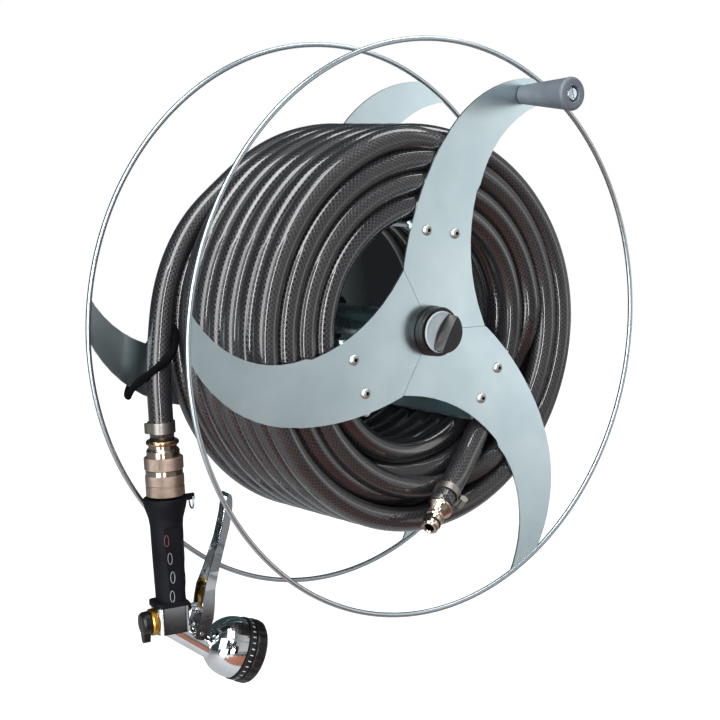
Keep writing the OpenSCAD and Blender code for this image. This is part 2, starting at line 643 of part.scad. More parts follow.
// A ring with a knurled outside: straight grooves cut round it
module knurled_ring(outer_d, inner_d, h, grooves) {
    difference() {
        rotate_extrude() polygon([[inner_d / 2, 0], [outer_d / 2 - 0.8, 0], [outer_d / 2, 0.8], [outer_d / 2, h - 0.8],
                                  [outer_d / 2 - 0.8, h], [inner_d / 2, h]]);
        for (i = [0 : grooves - 1]) rotate([0, 0, 360 * i / grooves]) translate([outer_d / 2 + 0.5, 0, 1.2])
            cylinder(d = 2, h = h - 2.4, $fn = 16);
    }
}
module coupling_collar() {
    color(nickel) on_gun() translate([0, 0, collar_bottom])
        knurled_ring(collar_d, barrel_d + 2 * run_clear, collar_len, 24);
}
// The gun's inlet: knurled nut, plug nose inside the coupling and threaded tail in the stem
module gun_inlet() {
    n = nose_d / 2;
    tail_r = stem_d / 2 - 2.5;
    nut_h = rim_bottom - gun_nut_bottom;
    color(nickel) on_gun() {
        for (i = [0, 1]) translate([0, 0, gun_nut_bottom + i * nut_h / 2])
            knurled_ring(gun_nut_d, 2 * n - 2, nut_h / 2, 24);
        rotate_extrude() polygon([[5, -22], [tail_r, -22], [tail_r, gun_nut_bottom], [n - 1, gun_nut_bottom],
                                  [n, rim_bottom], [n, rim_bottom + 13], [n - 2, rim_bottom + 15], [5, rim_bottom + 15]]);
    }
}

// Rubber grip with a collar at each end, flat sides and four finger waves
module gun_grip() {
    w = gun_grip_w / 2;
    c = gun_collar_d / 2;
    l = gun_grip_len;
    d = gun_grip_depth;
    color(rubber) on_gun() difference() {
        union() {
            translate([grip_shift, 0, 0]) {
                rotate_extrude() polygon([[0, 0], [c - 1, 0], [c, -1], [c - 0.2, -5], [c - 1.6, -11], [w + 1, -20],
                                          [w, -27.5], [0, -27.5]]);
                intersection() {
                    rotate_extrude() polygon([[0, -27], [w, -27], [w - 0.4, -60], [w - 1.2, -l + 4], [0, -l + 4]]);
                    translate([-w, -d / 2, -l]) cube([2 * w, d, l]);
                }
            }
            translate([block_x, 0, -l]) linear_extrude(4.8) rounded_rect(block_w + 3, block_d + 3, 7);
            translate([c - 5, -2, -6]) cube([ring_hole.x + 3 - c + 5, 4, 6]);
        }
        translate([0, 0, -l - over]) cylinder(d = stem_d + 0.1, h = l - 1 + over);
        translate([0, 0, -l]) cylinder(r = stem_d / 2 - 2.4, h = l + over);
        for (wave = waves) translate([wave[1] + wave_r, 0, wave[0]]) intersection() {
            rotate([90, 0, 0]) cylinder(r = wave_r, h = 60, center = true);
            cube([2 * wave_r, 60, 20], center = true);
        }
        translate([ring_hole.x, 3, ring_hole.y]) rotate([90, 0, 0]) cylinder(d = 2.3, h = 6);
    }
}
// Wire ring for hanging the gun up: a bar through the tab and a rounded bow below it
module hang_ring() {
    r = 0.9;
    half = 5.6;
    drop = 6.5;
    color(bright_zinc) on_gun() translate([ring_hole.x, 0, ring_hole.y]) rotate([90, 0, 90]) {
        translate([-half, 0, 0]) rotate([0, 90, 0]) cylinder(r = r, h = 2 * half, $fn = 24);
        for (s = [-1, 1]) translate([s * half, 0, 0]) {
            sphere(r = r, $fn = 24);
            rotate([90, 0, 0]) cylinder(r = r, h = drop, $fn = 24);
        }
        translate([0, -drop, 0]) rotate([0, 0, 180]) rotate_extrude(angle = 180, $fn = 48)
            translate([half, 0]) circle(r = r, $fn = 24);
    }
}

// Chromed gun body: stem inside the grip, valve block, neck, domed bell and the lug for the lever
module gun_body() {
    grip_stem_r = stem_d / 2;
    l = gun_grip_len;
    neck = neck_to - neck_from;
    b = bell_d / 2;
    color(chrome) {
        on_gun() difference() {
            union() {
                translate([0, 0, -l - 1]) cylinder(r = grip_stem_r, h = l - 1);
                translate([block_x, 0, block_bottom]) linear_extrude(-block_bottom - l) rounded_rect(block_w, block_d, 6);
                translate([neck_from.x, 0, neck_from.y]) rotate([0, 90 + atan2(-neck.y, neck.x), 0])
                    cylinder(r = neck_r, h = norm(neck));
                across_gun(8) lug_outline();
            }
            translate([0, 0, -23]) cylinder(r = grip_stem_r - 2.4, h = 23 + over);
            translate([0, 0, -l - 9]) cylinder(r = 4, h = l);
            translate([lever_pivot.x, 10, lever_pivot.y]) rotate([90, 0, 0]) cylinder(d = lever_pin_d + 0.1, h = 20);
            translate([-2, 0, stem_axis_z]) rotate([0, 90, 0]) cylinder(r = stem_r + run_clear, h = 20);
            translate([block_left - over, 0, flow_axis_z]) rotate([0, 90, 0]) cylinder(r = 5 + run_clear, h = 10 + over);
        }
        on_head() rotate_extrude() polygon(concat(
            [[0, -dome_shift - b + 2]], [for (a = [-68 : 6 : -2]) [b * cos(a), -dome_shift + b * sin(a)]],
            [[b, -dome_shift], [b, -1], [b - 1, 0], [spigot_r, 0], [spigot_r, 9], [0, 9]]));
    }
}
module lug_outline() {
    translate(lever_pivot) circle(r = 5.5);
    polygon([lever_pivot + [-5.5, 0], lever_pivot + [5.5, 0], lever_pivot + [7, -12], lever_pivot + [-6, -5]]);
}

// Channel-shaped lever: two sides and a web along the outer edge, wider at its foot
lever_foot_r = 6.5;
lever_outer = [[62.5, -4], [65, -5.5], [66, -10], [65.5, -18], [61, -38], [51.5, -66], [43.5, -89], [40.8, -97],
               [39.8, -108], [38.6, -118], [37, -127], [33.5, -135]];
lever_inner = [[19.5, -133], [22.5, -127], [25.5, -118], [27.2, -108], [31, -93], [34, -86], [42, -67], [50.5, -47],
               [57, -25], [60, -10]];
module lever_front(inset) {
    top = lever_top_w / 2 - inset;
    foot = lever_w / 2 - inset;
    rotate([90, 0, 90]) linear_extrude(90)
        polygon([for (s = [-1, 1], i = [0 : 5]) let (k = s < 0 ? i : 5 - i, z = [10, -62, -80, -97, -110, -160])
                 [s * [top, top + 0.5, top + 1.5, foot, foot, foot][k], z[k]]]);
}
module lever() {
    t = lever_t;
    color(chrome) on_gun() difference() {
        intersection() {
            across_gun(lever_w + 2)
                polygon(concat(lever_outer, arc(lever_pivot, lever_foot_r, 0, -180, 12), lever_inner));
            lever_front(0);
        }
        intersection() {
            across_gun(lever_w)
                polygon(concat([for (p = lever_outer) if (p.y > -130) p + [-t, p.y > -6 ? -3 : 0]],
                               [[34, -130], [50, -132], [50, -160], [5, -160]],
                               [for (p = lever_inner) p + [-9, 0]], [[45, -7]]));
            lever_front(t);
        }
        across_gun(lever_w + 4) translate(lever_pivot) circle(d = lever_pin_d + 0.1);
    }
}
module lever_catch() {
    color(brass) on_gun() difference() {
        across_gun(9) polygon([[catch_x, -118], [36.7, -118], [37.9, -108], [38.9, -97], [33, -96], [catch_x, -104]]);
        translate([29, -1.5, -103]) cube([12, 3, 10]);
    }
}
module lever_pin() {
    color(bright_zinc) on_gun() translate([lever_pivot.x, lever_w / 2 + 0.8, lever_pivot.y]) rotate([90, 0, 0])
        cylinder(d = lever_pin_d, h = lever_w + 1.6);
}
// Valve stem that the lever's catch presses, and the rubber boot round it
module valve_stem() {
    l = catch_x - stem_gap - stem_inner_x;
    r = stem_r;
    color(brass) on_gun() translate([stem_inner_x, 0, stem_axis_z]) rotate([0, 90, 0]) rotate_extrude()
        polygon([[0, 0], [r, 0], [r, l - 1.8], [r - 0.6, l - 0.8], [r - 1.7, l - 0.2], [0, l]]);
}
module stem_boot() {
    r = stem_r + 0.1;
    color(rubber) on_gun() translate([block_right, 0, stem_axis_z]) rotate([0, 90, 0]) rotate_extrude()
        polygon([[r, 0], [r + 2, 0], [r + 2, 1.5], [r + 1, 2.2], [r + 1.6, 3], [r + 0.8, 4.5], [r, 4.5]]);
}

// Flow control on the back of the valve block
module on_flow() { on_gun() translate([block_left, 0, flow_axis_z]) rotate([0, -90, 0]) children(); }
module flow_nut() {
    color(brass) on_flow() rotate_extrude()
        polygon([[5 + run_clear, 0], [13, 0], [13.4, 0.6], [13.4, 4.2], [12.4, 5.5], [5 + run_clear, 5.5]]);
}
module flow_knob() {
    color(black_plastic) on_flow() {
        translate([0, 0, -8]) cylinder(r = 5, h = 15);
        rotate_extrude() polygon([[0, 6], [11.2, 6], [11.6, 6.8], [11.3, 12], [10, 14], [8, 14.6], [0, 14.6]]);
        translate([0, 0, 6.6]) linear_extrude(6.8) polygon(concat([[0, -8]], arc([-15.5, 0], 4.2, -100, -260, 10), [[0, 8]]));
    }
}

// Spray head: a ribbed ring that turns on the bell's spigot, and the face with its jets
module nozzle_ring() {
    r = nozzle_d / 2;
    b = bell_d / 2;
    t = nozzle_t;
    face_r = r - 6;
    color(black_plastic) on_head() translate([0, 0, 0.3]) difference() {
        rotate_extrude() polygon([[spigot_r + run_clear, 0], [b + 0.2, 0], [b + 0.9, 6.6], [b, 7.2], [b, 8],
                                  [r - 0.6, 8.6], [r, 9.6], [r, t - 4], [r - 0.7, t - 1.6], [r - 2.4, t],
                                  [face_r + 0.6, t], [face_r, t - 0.6], [face_r, t - 3], [0, t - 3], [0, 9.5],
                                  [spigot_r + run_clear, 9.5]]);
        for (i = [0 : 15]) rotate([0, 0, 22.5 * i]) translate([r + 6.2, 0, 9]) cylinder(r = 7.2, h = t, $fn = 48);
    }
}
module nozzle_face() {
    r = nozzle_d / 2 - 6;
    color(grey_plastic) on_head() translate([0, 0, nozzle_t - 2.7]) difference() {
        rotate_extrude() polygon([[0, 0], [r, 0], [r, 1.6], [r - 1, 2.4], [0, 2.4]]);
        for (i = [0 : 7]) rotate([0, 0, 45 * i]) translate([r * 0.68, 0, 1]) cylinder(r = 4.2, h = 3);
        translate([0, 0, 1.2]) cylinder(r = 5, h = 3);
    }
}

wall_plate();
axle();
retaining_ring();
rear_arm(0);  // rear_arm_1
rear_arm(1);  // rear_arm_2
rear_arm(2);  // rear_arm_3
front_arm(0);  // front_arm_1
front_arm(1);  // front_arm_2
front_arm(2);  // front_arm_3
hoop(wire_plane);  // rear_hoop
hoop(-wire_plane);  // front_hoop
drum_plate(0);  // drum_plate_1
drum_plate(1);  // drum_plate_2
drum_plate(2);  // drum_plate_3
rear_hub();
rear_hub_nut();
front_hub();
front_hub_nut();
rear_screws();
rear_nuts();
front_screws();
front_nuts();
lock_knob();
knob_face();
knob_grip();
crank_grip();
crank_bush();
crank_bolt();
crank_nut();
hose_core();
hose_winding();
hose_hanging();
hose_inlet();
tie_strap();
screw_clamp();
inlet_plug();
plug_seal();
ear_clamp();
coupling_body();
coupling_collar();
gun_inlet();
gun_grip();
hang_ring();
gun_body();
lever();
lever_catch();
lever_pin();
valve_stem();
stem_boot();
flow_nut();
flow_knob();
nozzle_ring();
nozzle_face();
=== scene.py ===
# %% [markdown]
# # A wall hose reel, dressed step by step
# This lesson dresses a wall hose reel: curved sheet arms, two wire hoops, 25 m of garden hose and a
# spray gun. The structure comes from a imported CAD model, which stays as it is. Here it gets its finishes,
# and the soft and finely shaped pieces are worked out with numpy: each is a formula on a grid of two
# parameters. The wall is at y = 0, the reel's axis is the Y axis, and the front faces -Y. Sizes are written
# in millimetres, as on a drawing, and turned to metres where a mesh is made.

# %% Load the frame
import math

import bpy
import numpy as np
from mathutils import Matrix


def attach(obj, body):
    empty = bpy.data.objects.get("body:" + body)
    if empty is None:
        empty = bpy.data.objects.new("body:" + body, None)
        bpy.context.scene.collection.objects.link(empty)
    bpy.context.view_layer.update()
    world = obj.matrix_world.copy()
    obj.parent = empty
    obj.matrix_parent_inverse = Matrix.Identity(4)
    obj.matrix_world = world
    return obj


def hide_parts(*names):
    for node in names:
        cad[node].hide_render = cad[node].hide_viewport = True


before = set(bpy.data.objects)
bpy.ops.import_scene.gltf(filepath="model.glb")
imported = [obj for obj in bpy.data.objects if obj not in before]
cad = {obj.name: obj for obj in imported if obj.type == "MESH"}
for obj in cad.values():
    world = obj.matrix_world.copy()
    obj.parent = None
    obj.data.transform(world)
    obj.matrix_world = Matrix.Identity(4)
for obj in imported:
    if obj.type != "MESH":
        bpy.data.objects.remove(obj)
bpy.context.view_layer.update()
MM = 0.001

# %% [markdown]
# The camera comes first, because it decides which detail can be seen at all. The photograph was taken from
# the left and a little above, from almost two metres away with a long lens, so the two hoops look nearly as
# round as they are. The camera is placed by its angles round the middle of the reel. A small helper puts
# it into the scene, and later every other new object too.

# %% Camera
REEL_MIDDLE = np.array([0.0, -150.0, 0.0])


def in_scene(name, data):
    """A new object with the given data, linked to the scene."""
    made = bpy.data.objects.new(name, data)
    bpy.context.scene.collection.objects.link(made)
    return made


def place_camera(azimuth, elevation, distance, aside, lens):
    """Puts a camera at two angles and a distance from the reel, then slides it sideways and up, in mm."""
    turn, rise = math.radians(azimuth), math.radians(elevation)
    back = np.array([math.sin(turn) * math.cos(rise), -math.cos(turn) * math.cos(rise), math.sin(rise)])
    right = np.array([math.cos(turn), math.sin(turn), 0.0])
    up = np.cross(back, right)
    place = (REEL_MIDDLE + distance * back + aside[0] * right + aside[1] * up) * MM
    data = bpy.data.cameras.new("photo_camera")
    data.sensor_fit = "HORIZONTAL"
    data.sensor_width = 36.0
    data.lens = lens
    camera = in_scene("photo_camera", data)
    axes = np.eye(4)
    axes[:3, :] = np.column_stack([right, up, back, place])
    camera.matrix_world = Matrix(axes.tolist())
    bpy.context.scene.camera = camera
    print("camera at", np.round(place, 3).tolist())


place_camera(-38.327, 7.400, 1817.8, (-14.84, -37.41), 90.006)

# %% [markdown]
# Every new piece is a surface on a grid: its rows run along the piece and its columns across it. One helper
# turns such a grid into a mesh and closes it round where it should be closed. Whole arrays are worked out
# at once, which is fast and keeps each formula readable.


# %% Grids into meshes
def as_mesh(name, grid, round_along=False, capped=False, uv=None):
    """Makes a smooth mesh of a rows x columns x 3 grid in mm. The columns always close to a ring, and the
    rows do where the grid is round along. A capped grid gets a fan of faces over its first and its last row.
    Uv is the coordinate of each row and of each column, one longer where the grid runs round."""
    rows, columns = grid.shape[:2]
    along = rows if round_along else rows - 1
    i, k = (a.ravel() for a in np.meshgrid(np.arange(along), np.arange(columns), indexing="ij"))
    near, far = i * columns, (i + 1) % rows * columns
    beside = (k + 1) % columns
    faces = np.stack([near + k, near + beside, far + beside, far + k], axis=-1).tolist()
    points = grid.reshape(-1, 3) * MM
    if capped:
        first, last = len(points), (rows - 1) * columns
        points = np.vstack([points, points[:columns].mean(axis=0), points[last:].mean(axis=0)])
        spoke = np.arange(columns)
        following = (spoke + 1) % columns
        faces += np.stack([following, spoke, np.full(columns, first)], axis=-1).tolist()
        faces += np.stack([last + spoke, last + following, np.full(columns, first + 1)], axis=-1).tolist()
    mesh = bpy.data.meshes.new(name)
    mesh.from_pydata(points.tolist(), [], faces)
    mesh.polygons.foreach_set("use_smooth", np.ones(len(faces), bool))
    if uv is not None:
        u = np.stack([uv[0][i], uv[0][i], uv[0][i + 1], uv[0][i + 1]], axis=-1)
        v = np.stack([uv[1][k], uv[1][k + 1], uv[1][k + 1], uv[1][k]], axis=-1)
        corners = np.zeros((len(mesh.loops), 2), np.float32)
        corners[: u.size] = np.stack([u.ravel(), v.ravel()], axis=-1)
        mesh.uv_layers.new(name="along_and_round").data.foreach_set("uv", corners.ravel())
    return in_scene(name, mesh)


def unit(vectors):
    """Each vector divided by its length."""
    return vectors / np.linalg.norm(vectors, axis=-1, keepdims=True)


def sections(path, radius, columns):
    """A grid of round sections along a path: centre + radius * (cos * a + sin * b), where a lies square to
    the path and to the reel's axis, and b square to the path and to a."""
    way = unit(np.gradient(path, axis=0))
    a = unit(np.cross(way, np.array([0.0, 1.0, 0.0])))
    b = np.cross(way, a)
    turn = np.linspace(0, 2 * np.pi, columns, endpoint=False)[None, :, None]
    return path[:, None] + radius * (np.cos(turn) * a[:, None] + np.sin(turn) * b[:, None])


# %% [markdown]
# A smooth curve through a few points is needed for every route. A cubic spline is the curve that a thin
# springy strip takes when it is held at those points, so it suits a hose well. Its second differences at
# the points come from one set of linear equations.


# %% Curves through points
def spline(points, spacing):
    """Natural cubic spline through the points, measured by the distance between them, as points a given
    spacing apart."""
    points = np.asarray(points, float)
    span = np.linalg.norm(np.diff(points, axis=0), axis=1)
    knots = np.concatenate([[0], np.cumsum(span)])
    n = len(points)
    system = np.zeros((n, n))
    right = np.zeros((n, 3))
    system[0, 0] = system[-1, -1] = 1
    inner = np.arange(1, n - 1)
    system[inner, inner - 1] = span[:-1]
    system[inner, inner] = 2 * (span[:-1] + span[1:])
    system[inner, inner + 1] = span[1:]
    slope = np.diff(points, axis=0) / span[:, None]
    right[1:-1] = 6 * (slope[1:] - slope[:-1])
    bend = np.linalg.solve(system, right)
    at = np.linspace(0, knots[-1], int(knots[-1] / spacing * 4) + 2)
    i = np.clip(np.searchsorted(knots, at, side="right") - 1, 0, n - 2)
    s, e, h = (at - knots[i])[:, None], (knots[i + 1] - at)[:, None], span[i][:, None]
    fine = (bend[i] * e**3 + bend[i + 1] * s**3) / (6 * h)
    fine += (points[i] / h - bend[i] * h / 6) * e + (points[i + 1] / h - bend[i + 1] * h / 6) * s
    return evenly(fine, spacing)


def evenly(line, spacing):
    """The same line with its points an even distance apart."""
    run = np.concatenate([[0], np.cumsum(np.linalg.norm(np.diff(line, axis=0), axis=1))])
    at = np.linspace(0, run[-1], int(round(run[-1] / spacing)) + 1)
    return np.stack([np.interp(at, run, line[:, c]) for c in range(3)], axis=-1)


def eased(t):
    """0 before, 1 after, and a smooth step between."""
    t = np.clip(t, 0, 1)
    return t * t * (3 - 2 * t)


# %% [markdown]
# The hose is about 25 m of 24 mm hose on a drum, so its route is one line from the inlet plug to the gun's
# coupling. A spiral with a constant pitch would look machine-made and would drift sideways. A hose that is
# wound by hand lies flat for most of a turn and then steps over to its next place, so each turn does that,
# in four layers that go to and fro. The gun's own frame is needed for the end of the route.

# %% Route of the hose
HOSE = 24.0
SPACING = 8.0
HALF_WIDTH = 73.5  # from the middle of the drum to its outermost strands
STEP = 0.36  # share of a turn in which the hose steps over to its next place
PER_TURN = 24  # points of the route in one turn
LAYERS = [(122.5, 7, -1), (144.0, 6, 1), (166.0, 6, -1)]  # radius, turns, and the side that it starts on
OUTER, OUTER_TURNS, OUTER_PITCH = 188.0, 6, 24.5
FIRST_ANGLE, OUTER_START, END_ANGLE = -36.0, 100.0, 128.0  # degrees round the axle
RISE_FROM, RISE_TO = 126.0, 168.0  # degrees between which the last inner turn rises to the outer layer
INSET = 7.5  # the first turn starts this far behind its place, to leave room for the inlet end
DIVE = 19.0  # how far the crossing goes below the outer layer
GUN_TURN, GUN_LEAN = math.radians(-12.0), math.radians(-2.9)
GUN_ORIGIN = np.array([-213.0, 59.5, -161.0]) + REEL_MIDDLE
PLUG_BASE = np.array([-2.0, -104.5, -171.5]) + REEL_MIDDLE
PLUG_WAY = unit(np.array([-0.772, -0.375, -0.513]))
COUPLING_TOP = 57.0


def about_y(angle):
    """Matrix of a turn round the Y axis."""
    c, s = math.cos(angle), math.sin(angle)
    return np.array([[c, 0, s], [0, 1, 0], [-s, 0, c]])


def about_z(angle):
    """Matrix of a turn round the Z axis."""
    c, s = math.cos(angle), math.sin(angle)
    return np.array([[c, -s, 0], [s, c, 0], [0, 0, 1]])


GUN_AXES = about_z(GUN_TURN) @ about_y(GUN_LEAN)


def from_gun(points):
    """Points of the gun's own frame, brought into the frame of the whole. Its +Z runs up the grip."""
    return GUN_ORIGIN + np.asarray(points, float) @ GUN_AXES.T


def on_drum(radius, angle, y):
    """Points on the drum: a radius and an angle in degrees round the axle, and a depth from the middle."""
    angle = np.radians(angle)
    place = np.broadcast_arrays(radius * np.cos(angle), y, radius * np.sin(angle))
    return np.stack(place, axis=-1) + REEL_MIDDLE


def inner_layers():
    """Points of the three inner layers. Each turn keeps its place and then eases to the next turn's place in
    its last part. The last turn rises to the outer radius where the hanging hose leaves the drum, and fills
    its place."""
    places = [(radius, side * HALF_WIDTH * (1 - 2 * k / (turns - 1)))
              for radius, turns, side in LAYERS for k in range(turns)]
    places = np.array(places + [places[-1]])
    turn = np.arange(0, len(places) - 1, 1 / PER_TURN)
    k = turn.astype(int)
    share = eased((turn - k - 1 + STEP) / STEP)[:, None]
    radius, depth = (places[k] * (1 - share) + places[k + 1] * share).T
    angle = FIRST_ANGLE + 360 * turn
    depth = depth + INSET * (1 - eased((angle - FIRST_ANGLE) / 90))
    last_turn = angle - 360 * (len(places) - 2)
    radius = radius + (OUTER - LAYERS[-1][0]) * eased((last_turn - RISE_FROM) / (RISE_TO - RISE_FROM))
    return on_drum(radius, angle, depth)


def crossing():
    """The hose dives, runs back from the rear to the front under the outer layer, and climbs to it again
    behind an arm."""
    t = np.linspace(0, 1, 12)[1:-1]
    radius = OUTER - DIVE * eased(t / 0.25) + DIVE * eased((t - 0.75) / 0.25)
    depth = HALF_WIDTH - 2 * HALF_WIDTH * eased((t - 0.06) / 0.76)
    return on_drum(radius, FIRST_ANGLE + (OUTER_START - FIRST_ANGLE) * t, depth)


def outer_layer():
    """The outer turns start at the front and leave the drum at the rear."""
    turn = np.arange((OUTER_START - END_ANGLE) / 360, OUTER_TURNS, 1 / PER_TURN)
    whole = np.floor(np.maximum(turn, 0))
    share = np.where(turn < 0, 0, whole + eased((turn - whole - 1 + STEP) / STEP))
    return on_drum(OUTER, END_ANGLE + 360 * turn, -HALF_WIDTH + OUTER_PITCH * share)


INLET = np.array([[38, -87.5, -143], [56, -80.5, -127], [75.5, -73.5, -106.5], [88.5, -69.5, -91]])
HANGING = np.array([[-160, 73.5, 112], [-180, 73, 88], [-196, 71, 60], [-207, 68, 30], [-213, 65, 0],
                    [-217, 62.5, -30]])
ABOVE_COUPLING = (54, 38, 19, 0)
end = on_drum(OUTER, END_ANGLE, HALF_WIDTH)
leaving = np.array([-math.sin(math.radians(END_ANGLE)), 0, math.cos(math.radians(END_ANGLE))])
route = np.vstack([
    PLUG_BASE, PLUG_BASE - 1.25 * HOSE * PLUG_WAY, INLET + REEL_MIDDLE,
    inner_layers(), crossing(), outer_layer(),
    end, end + HOSE * leaving, HANGING + REEL_MIDDLE,
    from_gun([[0, 0, COUPLING_TOP + h] for h in ABOVE_COUPLING]),
])
hose_path = spline(route, SPACING)

# %% [markdown]
# The inlet end lies over the front of the coil, so the strands behind it give way. Each wound point that is
# closer to the inlet end than one hose diameter moves back until the two just touch: its depth becomes at
# least that of the inlet strand plus the missing side of a right triangle. A weighted running mean then
# smooths it.

# %% Strands that give way
INLET_LENGTH, NEXT_STRAND = 210, 12  # mm of the inlet end, and points left out between it and the wound hose
TOUCHING, MOST_GIVE, SMOOTHED = HOSE + 0.5, 22, 13
inlet_points = int(INLET_LENGTH / SPACING)
inlet_strand = hose_path[:inlet_points]
wound = hose_path[inlet_points + NEXT_STRAND :]
apart = wound[:, None] - inlet_strand[None]
sideways = np.hypot(apart[..., 0], apart[..., 2])
needed = np.sqrt(np.maximum(TOUCHING**2 - sideways**2, 0)) - apart[..., 1]
needed = np.where((sideways < TOUCHING) & (apart[..., 1] > -HOSE), needed, 0).max(axis=1)
window = np.hanning(SMOOTHED)
give = np.convolve(np.clip(needed, 0, MOST_GIVE), window / window.sum(), mode="same")
wound[:, 1] += np.maximum(give, 0)
print("strands move back by up to", round(float(give.max()), 1), "mm")

# %% [markdown]
# The tube itself is a circle of 24 points carried along the route. On the drum the first point of each
# circle faces the axle, which keeps the knitted pattern straight. The coordinates along and round the hose
# are stored in metres, so the pattern keeps its real size anywhere on 25 m of hose.

# %% Hose
HOSE_SIDES = 24
hose_run = np.concatenate([[0], np.cumsum(np.linalg.norm(np.diff(hose_path, axis=0), axis=1))]) * MM
hose_round = np.linspace(0, math.pi * HOSE * MM, HOSE_SIDES + 1)
hose_grid = sections(hose_path, HOSE / 2, HOSE_SIDES)
hose = as_mesh("garden_hose", hose_grid, capped=True, uv=(hose_run, hose_round))
print("hose mesh:", len(hose.data.polygons), "faces")

# %% [markdown]
# Every finish is a small node tree. A few helpers keep these trees readable: one adds a node and sets its
# inputs, one turns a colour as written in a paint program into the linear values that the shader wants, and
# one starts a material with the numbers that are the same all over its surface.


# %% Material helpers
def colour(code):
    """Linear colour of a #rrggbb code: each share is divided by 12.92 when dark, else a power curve."""
    shares = [int(code[i : i + 2], 16) / 255 for i in (1, 3, 5)]
    return [s / 12.92 if s <= 0.04045 else ((s + 0.055) / 1.055) ** 2.4 for s in shares] + [1.0]


def new_finish(name, **numbers):
    """A material with one main shader, whose sockets get the given numbers or colour codes."""
    made = bpy.data.materials.new(name)
    made.use_nodes = True
    shader = made.node_tree.nodes["Principled BSDF"]
    for socket, number in numbers.items():
        value = colour(number) if isinstance(number, str) else number
        shader.inputs[socket.replace("_", " ")].default_value = value
    return made


def add(finish, kind, settings=None, **inputs):
    """Adds a node, sets its properties and its inputs, and returns it. An input is a number, a colour code
    or another node's output. Its name is written with underscores for spaces, or as i0, i1 for its number."""
    tree = finish.node_tree
    node = tree.nodes.new("ShaderNode" + kind)
    for key, value in (settings or {}).items():
        setattr(node, key, value)
    for key, value in inputs.items():
        by_number = key[0] == "i" and key[1:].isdigit()
        socket = node.inputs[int(key[1:]) if by_number else key.replace("_", " ")]
        if isinstance(value, bpy.types.NodeSocket):
            tree.links.new(value, socket)
        else:
            socket.default_value = colour(value) if isinstance(value, str) else value
    return node


def drive(finish, **outputs):
    """Links outputs to the main shader's sockets."""
    shader = finish.node_tree.nodes["Principled BSDF"]
    for socket, output in outputs.items():
        finish.node_tree.links.new(output, shader.inputs[socket.replace("_", " ")])


def noise(finish, scale, detail=3.0, roughness=0.5, stretch=(1, 1, 1)):
    """Soft random pattern in object space. Scale counts its waves in a metre, and stretch is a factor on
    that for each axis."""
    where = add(finish, "TexCoord").outputs["Object"]
    placed = add(finish, "Mapping", Vector=where, Scale=[scale * s for s in stretch])
    pattern = add(finish, "TexNoise", Vector=placed.outputs[0], Scale=1.0, Detail=detail, Roughness=roughness)
    return pattern.outputs[0]


def steps(finish, factor, *stops):
    """Colour ramp. Each stop is a place from 0 to 1 and a colour code."""
    ramp = add(finish, "ValToRGB", Fac=factor)
    marks = ramp.color_ramp.elements
    for n, (place, tone) in enumerate(stops):
        mark = marks[n] if n < 2 else marks.new(place)
        mark.position = place
        mark.color = colour(tone)
    return ramp.outputs["Color"]


def mixed(finish, share, low, high, blend="MIX"):
    """The first colour where the share is 0, and the second, or its blend with the first, where it is 1."""
    settings = {"data_type": "RGBA", "blend_type": blend}
    return add(finish, "Mix", settings, i0=share, i6=low, i7=high).outputs[2]


def maths(finish, kind, *values):
    """One step of arithmetic on numbers or outputs."""
    inputs = {f"i{n}": value for n, value in enumerate(values)}
    return add(finish, "Math", {"operation": kind}, **inputs).outputs[0]


def between(finish, low, high, value):
    """Scales an output from 0..1 to low..high."""
    return add(finish, "MapRange", Value=value, To_Min=low, To_Max=high).outputs[0]


def bump(finish, height, distance, strength):
    """Turns a height into a shading normal. Distance is in metres."""
    return add(finish, "Bump", Height=height, Distance=distance, Strength=strength).outputs[0]


print("helpers ready")

# %% [markdown]
# The hose is clear soft plastic over a knitted yarn, over a dark core. The yarn lies in a slanted net just
# below the surface. Two sets of sloping lines are worked out from the metres along and round the hose, and
# each yarn is a soft round ridge. The plastic above it stays smooth, so it gets its own coat, whose gloss
# isn't disturbed by the yarn. The hose twists as it is wound, which turns a smoother and a more open side
# of the knit to the eye by turns, so a cosine of the angle round plus 2.7 radians a metre drives the gloss.

# %% Hose finish
hose_finish = new_finish("clear_pvc_over_knit", Roughness=0.3, Specular_IOR_Level=0.3, Coat_Weight=0.8,
                         Coat_Roughness=0.05, Coat_IOR=1.5)
metres = add(hose_finish, "UVMap", {"uv_map": "along_and_round"}).outputs[0]
parts = add(hose_finish, "SeparateXYZ", Vector=metres)
along, around = parts.outputs["X"], parts.outputs["Y"]
KNIT, SLANT, TWIST = 0.0044, 0.9, 2.7  # metres from yarn to yarn, rise of a yarn, radians in a metre
yarns = []
for side in (1, -1):
    slope = maths(hose_finish, "MULTIPLY", along, SLANT)
    slope = maths(hose_finish, "MULTIPLY_ADD", around, side, slope)
    wave = maths(hose_finish, "SINE", maths(hose_finish, "MULTIPLY", slope, 2 * math.pi / KNIT))
    yarns.append(maths(hose_finish, "MULTIPLY_ADD", wave, 0.5, 0.5))
knit = maths(hose_finish, "POWER", maths(hose_finish, "MAXIMUM", *yarns), 1.6)
worn = noise(hose_finish, 9, 4, 0.6)
fine = noise(hose_finish, 420, 2, 0.6)
yarn_tone = steps(hose_finish, knit, (0.0, "#050506"), (0.5, "#0f0f11"), (1.0, "#2b2a2d"))
dust = steps(hose_finish, worn, (0.35, "#ffffff"), (0.75, "#b9b0ab"))
lie = maths(hose_finish, "MULTIPLY_ADD", along, TWIST, maths(hose_finish, "DIVIDE", around, HOSE / 2 * MM))
lie = maths(hose_finish, "MULTIPLY_ADD", maths(hose_finish, "COSINE", lie), 0.5, 0.5)
gloss = maths(hose_finish, "MULTIPLY_ADD", lie, 0.2, maths(hose_finish, "MULTIPLY_ADD", fine, 0.16, 0.12))
relief = maths(hose_finish, "MULTIPLY", knit, between(hose_finish, 0.25, 1.25, lie))
